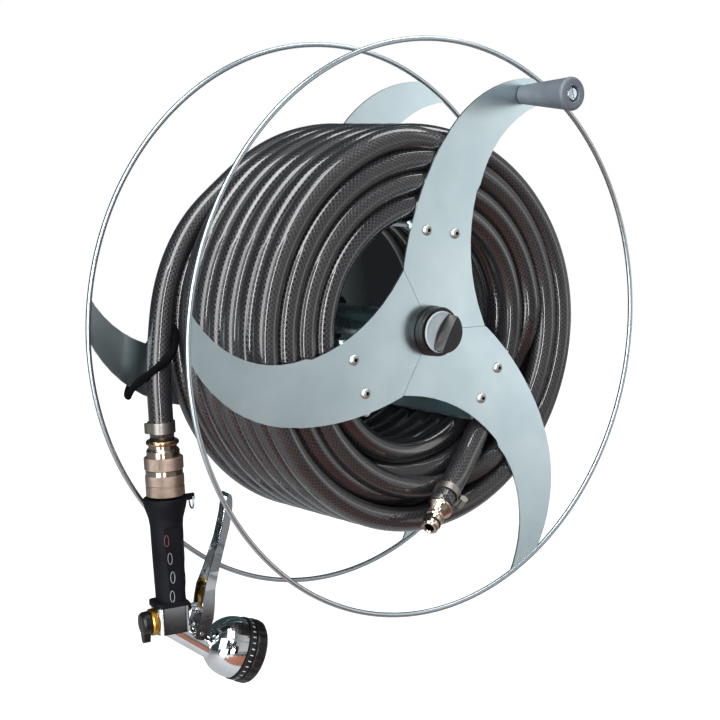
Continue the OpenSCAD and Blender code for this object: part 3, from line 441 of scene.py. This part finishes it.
drive(hose_finish, Base_Color=mixed(hose_finish, 0.55, yarn_tone, dust, "MULTIPLY"), Roughness=gloss,
      Normal=bump(hose_finish, relief, 0.0006, 0.5))
hose.data.materials.append(hose_finish)
print("yarn spacing:", KNIT / MM, "mm")

# %% [markdown]
# The arms are galvanised sheet steel with a satin skin. Rolling leaves fine straight lines, and the zinc is
# a little cloudy. Metal has almost no colour of its own to show: what is seen is the room in it, so the
# roughness decides how soft that picture is, and the bump has to stay very low.

# %% Zinc finishes
sheet_finish = new_finish("galvanised_sheet", Metallic=1.0, Roughness=0.3)
clouds = noise(sheet_finish, 16, 4, 0.55)
rolled = noise(sheet_finish, 900, 2, 0.6, stretch=(0.02, 1, 1))
drive(sheet_finish,
      Base_Color=steps(sheet_finish, clouds, (0.3, "#afc1c6"), (0.7, "#bfced2")),
      Roughness=between(sheet_finish, 0.24, 0.36, noise(sheet_finish, 60, 3, 0.6)),
      Normal=bump(sheet_finish, rolled, 0.00003, 0.25))

wire_finish = new_finish("zinc_plated_steel", Metallic=1.0, Roughness=0.25)
drive(wire_finish,
      Base_Color=steps(wire_finish, noise(wire_finish, 40, 3), (0.3, "#a3afb5"), (0.7, "#b2bdc2")),
      Roughness=between(wire_finish, 0.2, 0.34, noise(wire_finish, 90, 2, 0.6)))
hoop_finish = new_finish("drawn_zinc_wire", Base_Color="#a6b2b8", Metallic=1.0, Roughness=0.3)
screw_finish = new_finish("zinc_screw_heads", Base_Color="#a9aaa7", Metallic=1.0, Roughness=0.4)
print("zinc:", sheet_finish.name, wire_finish.name, hoop_finish.name, screw_finish.name)

# %% [markdown]
# Moulded plastic shows a fine even grain and a soft gloss. The hub is black, the crank grip grey, and the
# knob's face is painted silver. The gun's grip is rubber, which is blunter and a little blue.


# %% Plastics and rubber
def moulded(name, dark, light, gloss, grain=0.00004, scale=2600, shine=0.32):
    """A moulded finish: two close tones in broad clouds, and a fine even grain in its bump and gloss."""
    made = new_finish(name, Roughness=gloss, Specular_IOR_Level=shine)
    pits = noise(made, scale, 2, 0.5)
    drive(made, Base_Color=steps(made, noise(made, 30, 3), (0.35, dark), (0.7, light)),
          Roughness=between(made, gloss - 0.07, gloss + 0.1, noise(made, 140, 3, 0.6)),
          Normal=bump(made, pits, grain, 0.5))
    return made


black_finish = moulded("moulded_black_plastic", "#070809", "#0d0e10", 0.3)
grey_finish = moulded("moulded_grey_plastic", "#4c5259", "#5c636a", 0.42)
silver_finish = moulded("silver_painted_plastic", "#80888d", "#99a1a6", 0.34)
rubber_finish = moulded("soft_black_rubber", "#05060a", "#0a0c12", 0.6, 0.00003, 1800, 0.12)
seal_finish = moulded("seal_rubber", "#060607", "#0c0c0d", 0.5, shine=0.2)
nozzle_finish = moulded("nozzle_black_plastic", "#09090a", "#121314", 0.36)
cord_finish = moulded("black_braid", "#030305", "#08080b", 0.8, 0.0002, 700, 0.05)
print("plastics: 7")

# %% [markdown]
# The bright metals are nickel on the coupling, chrome on the gun and bare brass on its valve. Nickel is
# warm and slightly satin, chrome is cool and clear, and all three carry faint smears from hands and water.


# %% Bright metals
def plated(name, dark, light, gloss, spread):
    """A plated metal: two close tones in clouds, and smears that vary its gloss."""
    made = new_finish(name, Metallic=1.0, Roughness=gloss)
    drive(made, Base_Color=steps(made, noise(made, 50, 3), (0.3, dark), (0.7, light)),
          Roughness=between(made, gloss, gloss + spread, noise(made, 110, 4, 0.65)),
          Normal=bump(made, noise(made, 300, 2), 0.000006, 0.2))
    return made


nickel_finish = plated("satin_nickel", "#9a8c7f", "#b8aa9c", 0.14, 0.1)
clamp_finish = plated("stainless_band", "#76736f", "#87847f", 0.34, 0.12)
chrome_finish = plated("polished_chrome", "#c9cbcd", "#dcdee0", 0.05, 0.07)
brass_finish = plated("bare_brass", "#a87f33", "#c8a04e", 0.22, 0.14)
bronze_finish = plated("tarnished_brass", "#8d7458", "#b39a7b", 0.16, 0.12)
print("metals: 5")

# %% [markdown]
# Each CAD solid gets its finish by name, also those that a finely shaped piece stands in for later.

# %% Finishes on the CAD pieces
wearing = {
    sheet_finish: "wall_plate rear_arm_1 rear_arm_2 rear_arm_3 front_arm_1 front_arm_2 front_arm_3 "
                  "drum_plate_1 drum_plate_2 drum_plate_3",
    hoop_finish: "rear_hoop front_hoop",
    screw_finish: "front_screws rear_screws",
    wire_finish: "axle retaining_ring rear_nuts front_nuts crank_bush crank_bolt crank_nut hang_ring "
                 "lever_pin valve_stem",
    black_finish: "rear_hub rear_hub_nut front_hub front_hub_nut lock_knob knob_grip flow_knob",
    silver_finish: "knob_face",
    grey_finish: "crank_grip",
    seal_finish: "plug_seal stem_boot",
    cord_finish: "tie_strap",
    nickel_finish: "inlet_plug coupling_body coupling_collar gun_inlet",
    clamp_finish: "screw_clamp ear_clamp",
    rubber_finish: "gun_grip",
    chrome_finish: "gun_body lever",
    brass_finish: "lever_catch flow_nut",
    nozzle_finish: "nozzle_ring nozzle_face",
    hose_finish: "hose_core hose_winding hose_hanging hose_inlet",
}
dressed = set()
for finish, names in wearing.items():
    for name in names.split():
        solid = cad[name]
        solid.data.materials.clear()
        solid.data.materials.append(finish)
        dressed.add(name)
print("dressed:", len(dressed), "left bare:", sorted(set(cad) - dressed))

# %% [markdown]
# A piece that is shaped here gets its finish, is hung on the body that it rides on, and hides the CAD
# solids whose place it takes. Small trim takes no solid's place.


# %% Fitting a piece to the frame
def fitted(made, finish, slot, body, *nodes):
    """Gives a shaped piece its finish and its body, and hides the CAD solids that it stands for. Slot is not
    used.
    """
    made.data.materials.append(finish)
    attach(made, body)
    if nodes:
        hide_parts(*nodes)
    return made


print("fitting ready")

# %% [markdown]
# The wire hoops are the thinnest thing that the camera sees, only five pixels wide, and any flat facet on
# them breaks the long highlight. A torus on a fine grid keeps it whole: a small circle carried round a
# large one.


# %% Hoops
def hoop(name, node, depth, radius=280.0, wire=5.0, rows=360, columns=20):
    """A torus round the reel's axis: radius + wire/2 * cos(v) from it, and wire/2 * sin(v) in depth."""
    turn = np.linspace(0, 2 * np.pi, rows, endpoint=False)
    ring = np.stack([radius * np.cos(turn), np.full(rows, depth), radius * np.sin(turn)], axis=-1)
    out = np.stack([np.cos(turn), np.zeros(rows), np.sin(turn)], axis=-1)[:, None]
    v = np.linspace(0, 2 * np.pi, columns, endpoint=False)[None, :, None]
    grid = ring[:, None] + wire / 2 * (np.cos(v) * out + np.sin(v) * np.array([0, 1.0, 0]))
    made = as_mesh(name, grid + REEL_MIDDLE, round_along=True)
    return fitted(made, hoop_finish, "zinc_wire", "reel", node)


hoops = [hoop("rear_wire_hoop", "rear_hoop", 87.0), hoop("front_wire_hoop", "front_hoop", -87.0)]
print("hoops:", [h.name for h in hoops])

# %% [markdown]
# Turned pieces, such as the rings of the coupling, are a profile spun round an axis. The profile is a short
# list of radius and height, and the helper adds points near each corner so that the smooth shading stays
# tight there and the corners look crisp. The run round the ring and up the profile is kept in metres for
# the knurl.


# %% Turned pieces
def crisp(profile, near=0.18):
    """The same profile with a point a little before and after each inner corner."""
    profile = np.asarray(profile, float)
    ahead, behind = profile[1:-1] - profile[:-2], profile[2:] - profile[1:-1]
    before = profile[1:-1] - ahead * np.minimum(near / np.linalg.norm(ahead, axis=1), 0.45)[:, None]
    after = profile[1:-1] + behind * np.minimum(near / np.linalg.norm(behind, axis=1), 0.45)[:, None]
    inner = np.stack([before, profile[1:-1], after], axis=1).reshape(-1, 2)
    return np.vstack([profile[:1], inner, profile[-1:]])


def turned(name, profile, place, columns=96):
    """A surface of revolution: radius * (cos a, sin a) and height, brought to its place by a function. The
    profile ends where it starts, so the last of its points is left out and the grid closes both ways."""
    line = crisp(profile)
    angle = np.linspace(0, 2 * np.pi, columns, endpoint=False)[None]
    radius, height = line[:-1, :1], line[:-1, 1:] + 0 * angle
    grid = np.stack([radius * np.cos(angle), radius * np.sin(angle), height], axis=-1)
    run = np.concatenate([[0], np.cumsum(np.linalg.norm(np.diff(line, axis=0), axis=1))]) * MM
    uv = (run, np.linspace(0, 2 * math.pi * float(line[:, 0].max()) * MM, columns + 1))
    return as_mesh(name, place(grid), round_along=True, uv=uv)


print("turned pieces ready")

# %% [markdown]
# The coupling's rings are knurled: two sets of fine slanted cuts cross and leave small pyramids. The cuts
# go into the shading only, and are drawn 2.2 mm apart, coarser than real ones, so that they still show from
# two metres away. The height is the lower of two triangle waves that run up the ring in opposite
# directions.


# %% Knurled rings
def knurled(name, dark, light, pitch=0.0022):
    """Nickel with a diamond knurl: the lower of two slanted triangle waves, in metres round and along."""
    made = plated(name, dark, light, 0.36, 0.1)
    split = add(made, "SeparateXYZ", Vector=add(made, "UVMap", {"uv_map": "along_and_round"}).outputs[0])
    waves = []
    for side in (1, -1):
        slanted = maths(made, "MULTIPLY_ADD", split.outputs["X"], side, split.outputs["Y"])
        waves.append(maths(made, "PINGPONG", slanted, pitch / 2))
    height = maths(made, "MINIMUM", *waves)
    drive(made, Normal=bump(made, height, 1.0, 0.55))
    return made


knurl_finish = knurled("knurled_nickel", "#8a7b70", "#aa9b90")
sleeve = turned("coupling_sleeve", [
    (16.6, 28), (18.3, 28), (19.2, 28.9), (19.2, 39.6), (18.3, 40.5), (16.6, 40.5), (16.6, 28)], from_gun)
fitted(sleeve, knurl_finish, "nickel", "collar", "coupling_collar")
inlet_nut = turned("gun_inlet_nut", [
    (6, -20), (8, -20), (8, 2), (18.1, 2), (19, 2.9), (19, 11.4), (18.1, 12.2), (18.1, 12.8), (19, 13.6),
    (19, 22.1), (18.1, 23), (9, 23), (9, 34), (7, 36), (6, 36), (6, -20)], from_gun)
fitted(inlet_nut, knurl_finish, "nickel", "reel", "gun_inlet")
print("knurled:", sleeve.name, inlet_nut.name)

# %% [markdown]
# A tie holds the hanging hose to the rear arm. It is one black braided cord drawn tight, and it follows a
# closed route round the hose and the arm. Its section gets wider and narrower six times on the way, as a
# cord does where it is pressed flat.

# %% Tie
TIE = [[-197, 66, 4], [-200.6, 57, -2], [-205, 51, -9], [-210, 46, -16], [-221, 46, -27], [-232, 54, -37],
       [-234, 68, -46], [-238, 79, -56], [-238, 87, -63], [-231, 92.5, -53], [-219, 93, -32], [-209, 92, -14],
       [-202.5, 88, -7], [-199.5, 79, -1]]
TIE_THICK, TIE_WIDE, TIE_WIDER = 2.9, 3.2, 1.3


def tie():
    """Oval sections along a closed smooth curve: thick * cos(v) one way, and the other way
    (wide + wider * sin(3 t) squared) * sin(v). The curve runs on past its start, and that part is left
    out."""
    around = np.array(TIE + TIE[:3], float) + REEL_MIDDLE
    line = spline(around, 2.0)
    line = line[: int(len(line) * len(TIE) / (len(TIE) + 2))]
    way = unit(np.roll(line, -1, axis=0) - np.roll(line, 1, axis=0))
    a = unit(np.cross(way, np.array([0.6, 0, -0.8])))
    b = np.cross(way, a)
    v = np.linspace(0, 2 * np.pi, 16, endpoint=False)[None, :, None]
    share = np.linspace(0, 2 * np.pi, len(line))[:, None, None]
    wide = TIE_WIDE + TIE_WIDER * np.sin(3 * share) ** 2
    grid = line[:, None] + TIE_THICK * np.cos(v) * a[:, None] + wide * np.sin(v) * b[:, None]
    return as_mesh("hose_tie", grid, round_along=True)


hose_tie = fitted(tie(), cord_finish, "black_rubber", "reel", "tie_strap")
print("tie:", len(hose_tie.data.polygons), "faces")

# %% [markdown]
# The rest of the coupling is smooth: a flange under the sleeve, a barrel that runs up through it and steps
# in above it, and a brass shoulder ring where the hose ends.

# %% Coupling body
barrel = turned("coupling_barrel", [
    (9.6, 23), (18.25, 23), (18.25, 27.7), (16.25, 27.7), (16.25, 46.6), (15.6, 47.6), (15.2, 48.4),
    (13.9, 48.9), (13.9, 52.2), (6, 52.2), (6, 46.5), (9.6, 44.5), (9.6, 23)], from_gun)
fitted(barrel, nickel_finish, "nickel", "reel", "coupling_body")
shoulder = turned("coupling_shoulder", [
    (6, 52.3), (14.6, 52.3), (15.9, 53.1), (16.3, 54.5), (15.9, 56.1), (14.8, 57.0), (6, 57.0), (6, 52.3)],
    from_gun)
fitted(shoulder, bronze_finish, "brass", "reel", "coupling_body")
print("coupling:", barrel.name, shoulder.name)

# %% [markdown]
# Small trim finishes the gun. Four oval rings are let into the flat side of the grip, and a thin band with
# a row of 32 pale ticks runs round the nozzle ring. The ticks are a triangle wave in the metres round the
# band, cut off low, and kept to the middle of its height.


# %% Trim on the gun
OVALS = [(-7.0, -40.5), (-4.6, -58.5), (-3.0, -77.5), (-4.6, -96.5)]
OVAL_WIDE, OVAL_HIGH, OVAL_WIRE, GRIP_SIDE = 2.2, 5.6, 0.34, -14.0


def grip_oval(name, x, z, finish, points=48):
    """An oval ring half sunk into the grip's flat side: a small circle carried round an ellipse."""
    turn = np.linspace(0, 2 * np.pi, points, endpoint=False)
    side = np.full(points, GRIP_SIDE)
    line = np.stack([x + OVAL_WIDE * np.cos(turn), side, z + OVAL_HIGH * np.sin(turn)], axis=-1)
    way = unit(np.roll(line, -1, axis=0) - np.roll(line, 1, axis=0))
    a = np.cross(way, [0.0, 1.0, 0.0])
    v = np.linspace(0, 2 * np.pi, 10, endpoint=False)[None, :, None]
    grid = line[:, None] + OVAL_WIRE * (np.cos(v) * a[:, None] + np.sin(v) * np.cross(way, a)[:, None])
    fitted(as_mesh(name, from_gun(grid), round_along=True), finish, "black_rubber", "reel")


red_trim = moulded("red_brown_trim", "#5a3036", "#6b3c42", 0.4)
pale_trim = moulded("pale_trim", "#6f7276", "#85888c", 0.36)
for n, (x, z) in enumerate(OVALS):
    grip_oval(f"grip_oval_{n + 1}", x, z, red_trim if n == 0 else pale_trim)

HEAD_AXES = about_y(math.radians(113.8))
HEAD_PLACE = np.array([63.1, 0, -163.9])


def from_head(points):
    """Points of the spray head's frame, whose +Z runs out of the nozzle, brought into that of the whole."""
    return from_gun(HEAD_PLACE + np.asarray(points, float) @ HEAD_AXES.T)


TICKS, HALF_TICK = 32, 0.00042
BAND_RADIUS, BAND_MIDDLE, TICK_REACH = 0.0317, 0.0041, 0.0017
marked = moulded("marked_band", "#101012", "#1b1c1e", 0.38)
split = add(marked, "SeparateXYZ", Vector=add(marked, "UVMap", {"uv_map": "along_and_round"}).outputs[0])
tick = maths(marked, "PINGPONG", split.outputs["Y"], math.pi * BAND_RADIUS / TICKS)
inside = maths(marked, "COMPARE", split.outputs["X"], BAND_MIDDLE, TICK_REACH)
tick = maths(marked, "MULTIPLY", maths(marked, "LESS_THAN", tick, HALF_TICK), inside)
drive(marked, Base_Color=steps(marked, tick, (0.0, "#131315"), (1.0, "#b9bcc0")))
band = turned("nozzle_band", [
    (31.3, 0.9), (31.62, 0.9), (31.85, 1.2), (31.95, 6.0), (31.7, 6.4), (31.3, 6.4), (31.3, 0.9)], from_head)
fitted(band, marked, "black_plastic", "nozzle")
print("trim ready")

# %% [markdown]
# The knob in the middle has a raised half-moon to hold it by. Its straight edge lies at 29 degrees, and a
# hollow ramp rises to it from a curved line on the silver face. Each section square to that edge has the
# same outline, so the sections simply run along it.

# %% Knob
KNOB_FACE, MOON_RISE, MOON_R, MOON_EDGE = -252.3, 9.7, 19.7, 3.7
MOON_TURN, MOON_REACH = math.radians(-29), 1.365  # the edge's slant, and how far the sections go, in radians
FOOT_RISE, LIP_RISE, RAMP_RISE = 1.2, 1.6, 1.9
FOOT_BACK, FOOT_CURVE = -5.6, 3.6 / 17**2
TOP_SHARES, RIM_INSETS, RIM_DROPS = [[0.03, 0.3, 0.6, 0.9]], [[0.5, 0.15, 0.0]], [0.1, 0.5, 1.2]


def half_moon():
    """Sections from one end of the edge to the other: a small lip, a ramp that rises as share ** 1.35, the
    flat top, a rounded rim and the way back along the face. Across and along are turned at the end."""
    along = MOON_R * np.sin(np.linspace(-MOON_REACH, MOON_REACH, 72))[:, None]
    rim = np.sqrt(MOON_R**2 - along**2)
    foot = np.maximum(FOOT_BACK + FOOT_CURVE * along**2, -rim)
    share = np.linspace(0, 1, 14)
    ramp = foot + (MOON_EDGE - foot) * share
    top = MOON_EDGE + (rim - MOON_EDGE) * np.array(TOP_SHARES)
    edge = np.maximum(rim - np.array(RIM_INSETS), MOON_EDGE + 0.05)
    across = np.hstack([foot, foot, ramp, top, edge, rim])
    ramp_rise = RAMP_RISE + (MOON_RISE - RAMP_RISE) * share**1.35
    top_rise = np.full(top.shape[1], MOON_RISE)
    rim_rise = MOON_RISE - np.array(RIM_DROPS)
    rise = np.concatenate([[FOOT_RISE, LIP_RISE], ramp_rise, top_rise, rim_rise, [FOOT_RISE]])
    c, s = math.cos(MOON_TURN), math.sin(MOON_TURN)
    return np.stack([across * c - along * s, KNOB_FACE - rise + 0 * across, across * s + along * c], axis=-1)


moon = as_mesh("knob_half_moon", half_moon(), capped=True)
fitted(moon, black_finish, "black_plastic", "knob", "knob_grip")
print("half-moon:", len(moon.data.polygons), "faces")

# %% [markdown]
# The six front screws have a hexagon socket, which is deep and lies in shade. A dark hexagon fills
# each socket to a little below its rim: it is painted shade, not a part of the screw.

# %% Painted shade in the screw sockets
SCREW_CIRCLE, FIRST_ARM, SCREW_ASIDE = 98, 83, 10.6  # a radius, and two angles in degrees
SOCKET_R, SOCKET_BOTTOM, SOCKET_TOP = 2.2, -239.2, -240.6
# painted shade: near-black hexagons stand for the shade deep in each socket
shade_in_socket_finish = moulded("painted_socket_shade", "#020202", "#050505", 0.7, shine=0.1)
corner = np.linspace(0, 2 * np.pi, 6, endpoint=False)[None]
hexagon = [SOCKET_R * np.cos(corner), np.array([[SOCKET_BOTTOM], [SOCKET_TOP]]), SOCKET_R * np.sin(corner)]
hexagon = np.stack(np.broadcast_arrays(*hexagon), axis=-1)
screws = sorted(FIRST_ARM + 120 * arm + side * SCREW_ASIDE for arm in range(3) for side in (-1, 1))
for n, angle in enumerate(np.radians(screws)):
    centre = SCREW_CIRCLE * np.array([math.cos(angle), 0, math.sin(angle)])
    socket = as_mesh(f"shaded_socket_fill_{n + 1}", hexagon + centre, capped=True)
    fitted(socket, shade_in_socket_finish, "zinc_wire", "reel")
print("sockets:", len(screws))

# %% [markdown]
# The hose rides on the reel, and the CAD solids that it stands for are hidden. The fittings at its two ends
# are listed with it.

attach(hose, "reel")
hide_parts("hose_core", "hose_winding", "hose_hanging", "hose_inlet")
fittings = [cad[name] for name in ("inlet_plug", "plug_seal", "screw_clamp", "ear_clamp")]
fittings += [barrel, shoulder, sleeve]

# %% [markdown]
# The reel hangs on a wall in use, but the photograph shows it alone on white, so there is no wall here. Long
# soft lamps stand at the left and above, because round hose shows a lamp as a streak, and a long lamp gives
# a long streak. Weaker ones at the right and below keep the far side from going black.

# %% Lamps
REEL = (0, -0.15, 0)  # what most lamps face, in metres


def facing(place, aim):
    """Three directions for a lamp or board at a place: to its side, up, and straight away from its aim."""
    back = unit(np.array(place, float) - np.array(aim, float))
    side = unit(np.cross([0.0, 0.0, 1.0], back))
    return side, np.cross(back, side), back


def softbox(name, place, aim, size, power):
    """A rectangular lamp at a place in metres, turned to face another place. Power is in watts."""
    data = bpy.data.lights.new(name, "AREA")
    data.shape = "RECTANGLE"
    data.size, data.size_y = size
    data.energy = power
    axes = np.eye(4)
    axes[:3, :] = np.column_stack([*facing(place, aim), place])
    in_scene(name, data).matrix_world = Matrix(axes.tolist())


softbox("key_lamp", (-2.05, -0.85, 0.3), REEL, (0.9, 2.4), 56)
softbox("line_lamp", (-1.35, -1.95, 0.1), REEL, (0.18, 2.6), 36)
softbox("upper_lamp", (-0.9, -0.8, 1.7), REEL, (0.8, 1.7), 52)
softbox("top_lamp", (0.9, -0.4, 1.75), REEL, (0.6, 1.2), 20)
softbox("fill_lamp", (1.7, -1.5, 0.5), REEL, (0.5, 1.8), 5)
softbox("low_lamp", (2.05, -2.2, -0.52), (0, -0.15, -0.1), (1.0, 0.8), 2.2)
print("lamps: 6")

# %% [markdown]
# Round hose and chrome mirror the whole room, so the room needs things to mirror. A large black board stands
# at the left, a low black strip stands in front of the reel, and a brown sheet lies before it just above
# the floor. The camera sees none of them. One more board is made for the camera alone: it is painted shade, a
# dark board that fills the drum's opening.


# %% Boards
def flat_square(name, corners, finish):
    """An object of one flat face with a finish."""
    made = bpy.data.meshes.new(name)
    made.from_pydata(corners, [], [(0, 1, 2, 3)])
    made.materials.append(finish)
    return in_scene(name, made)


def card(name, tone, place, aim, width, height):
    """A large plain board that the camera doesn't see. Round hose and chrome mirror it."""
    side, up, _ = facing(place, aim)
    corners = [(np.array(place) + a * width / 2 * side + b * height / 2 * up).tolist()
               for a, b in ((-1, -1), (1, -1), (1, 1), (-1, 1))]
    board = flat_square(name, corners, new_finish(name, Base_Color=tone, Roughness=0.9))
    board.visible_camera = False
    board.visible_shadow = False
    board.visible_diffuse = False
    return board


card("black_board", "#080808", (-2.0, -2.6, 0.1), REEL, 2.6, 3.4)
card("black_strip", "#050505", (0.0, -1.9, -0.83), (0.0, 0, -0.83), 2.4, 0.13)
card("brown_sheet", "#8f5f4c", (0.0, -1.16, -0.895), (0.0, -1.159, 0.6), 2.4, 1.4)


def painted_drum_shade(away=3.5):
    """The drum's opening is dark and in shade, and this board paints that shade. A dark backdrop stands about
    seven metres from the camera, on the line that passes through the opening, so it fills the opening and
    nothing else. Away is how many times farther it is than the opening. Only the camera sees it, and a view
    turned well away from this camera's looks past it."""
    eye = np.array(bpy.context.scene.camera.location)
    opening = np.array([0.14, 0.012, 0.037])
    place = eye + away * (opening - eye)
    # painted shade: a dark board that only the camera sees, filling the drum's opening
    board = card("painted_drum_shade", "#14191b", place, eye, 0.063 * away, 0.098 * away)
    board.visible_camera = True
    board.visible_glossy = False


painted_drum_shade()
print("boards: 4")

# %% [markdown]
# A pale floor lies below and throws light up. The camera sees a white world, and soft light comes evenly
# from all sides. A mirror sees another world, which is light on the right and dark on the left: a smooth
# step of how far a direction points to the light side.


# %% Floor and world
def plain_floor(height, half):
    """A flat square in metres that throws light up at the reel. It glows white for the camera, so that it
    can't be told from the white world, and only a little for a mirror."""
    finish = new_finish("pale_floor", Base_Color="#b0b2b4", Roughness=0.9, Emission_Color="#ffffff")
    looks = add(finish, "LightPath").outputs
    glow = maths(finish, "MULTIPLY_ADD", looks["Is Glossy Ray"], 0.08, looks["Is Camera Ray"])
    drive(finish, Emission_Strength=glow)
    corners = [(-half, -half, height), (half, -half, height), (half, half, height), (-half, half, height)]
    flat_square("pale_floor", corners, finish)


plain_floor(-0.9, 6.0)
AMBIENT, WHITE = (0.25, 0.25, 0.25, 1), (1, 1, 1, 1)
DARK_SIDE, LIGHT_SIDE, LIGHT_FROM = (0.045, 0.07, 0.075, 1), (0.63, 0.63, 0.63, 1), (0.62, -0.78, -0.1)
world = bpy.data.worlds.new("white_room")
bpy.context.scene.world = world
world.use_nodes = True
toward = add(world, "TexCoord").outputs["Generated"]
side = add(world, "VectorMath", {"operation": "DOT_PRODUCT"}, i0=toward, i1=LIGHT_FROM).outputs["Value"]
side = add(world, "MapRange", {"interpolation_type": "SMOOTHSTEP"}, Value=side, From_Min=-0.1, From_Max=0.9)
looks = add(world, "LightPath").outputs
mirrored = mixed(world, side.outputs[0], DARK_SIDE, LIGHT_SIDE)
seen = mixed(world, looks["Is Glossy Ray"], AMBIENT, mirrored)
seen = mixed(world, looks["Is Camera Ray"], seen, WHITE)
world.node_tree.links.new(seen, world.node_tree.nodes["Background"].inputs["Color"])
bpy.context.scene.view_settings.view_transform = "Standard"
print("world:", world.name)
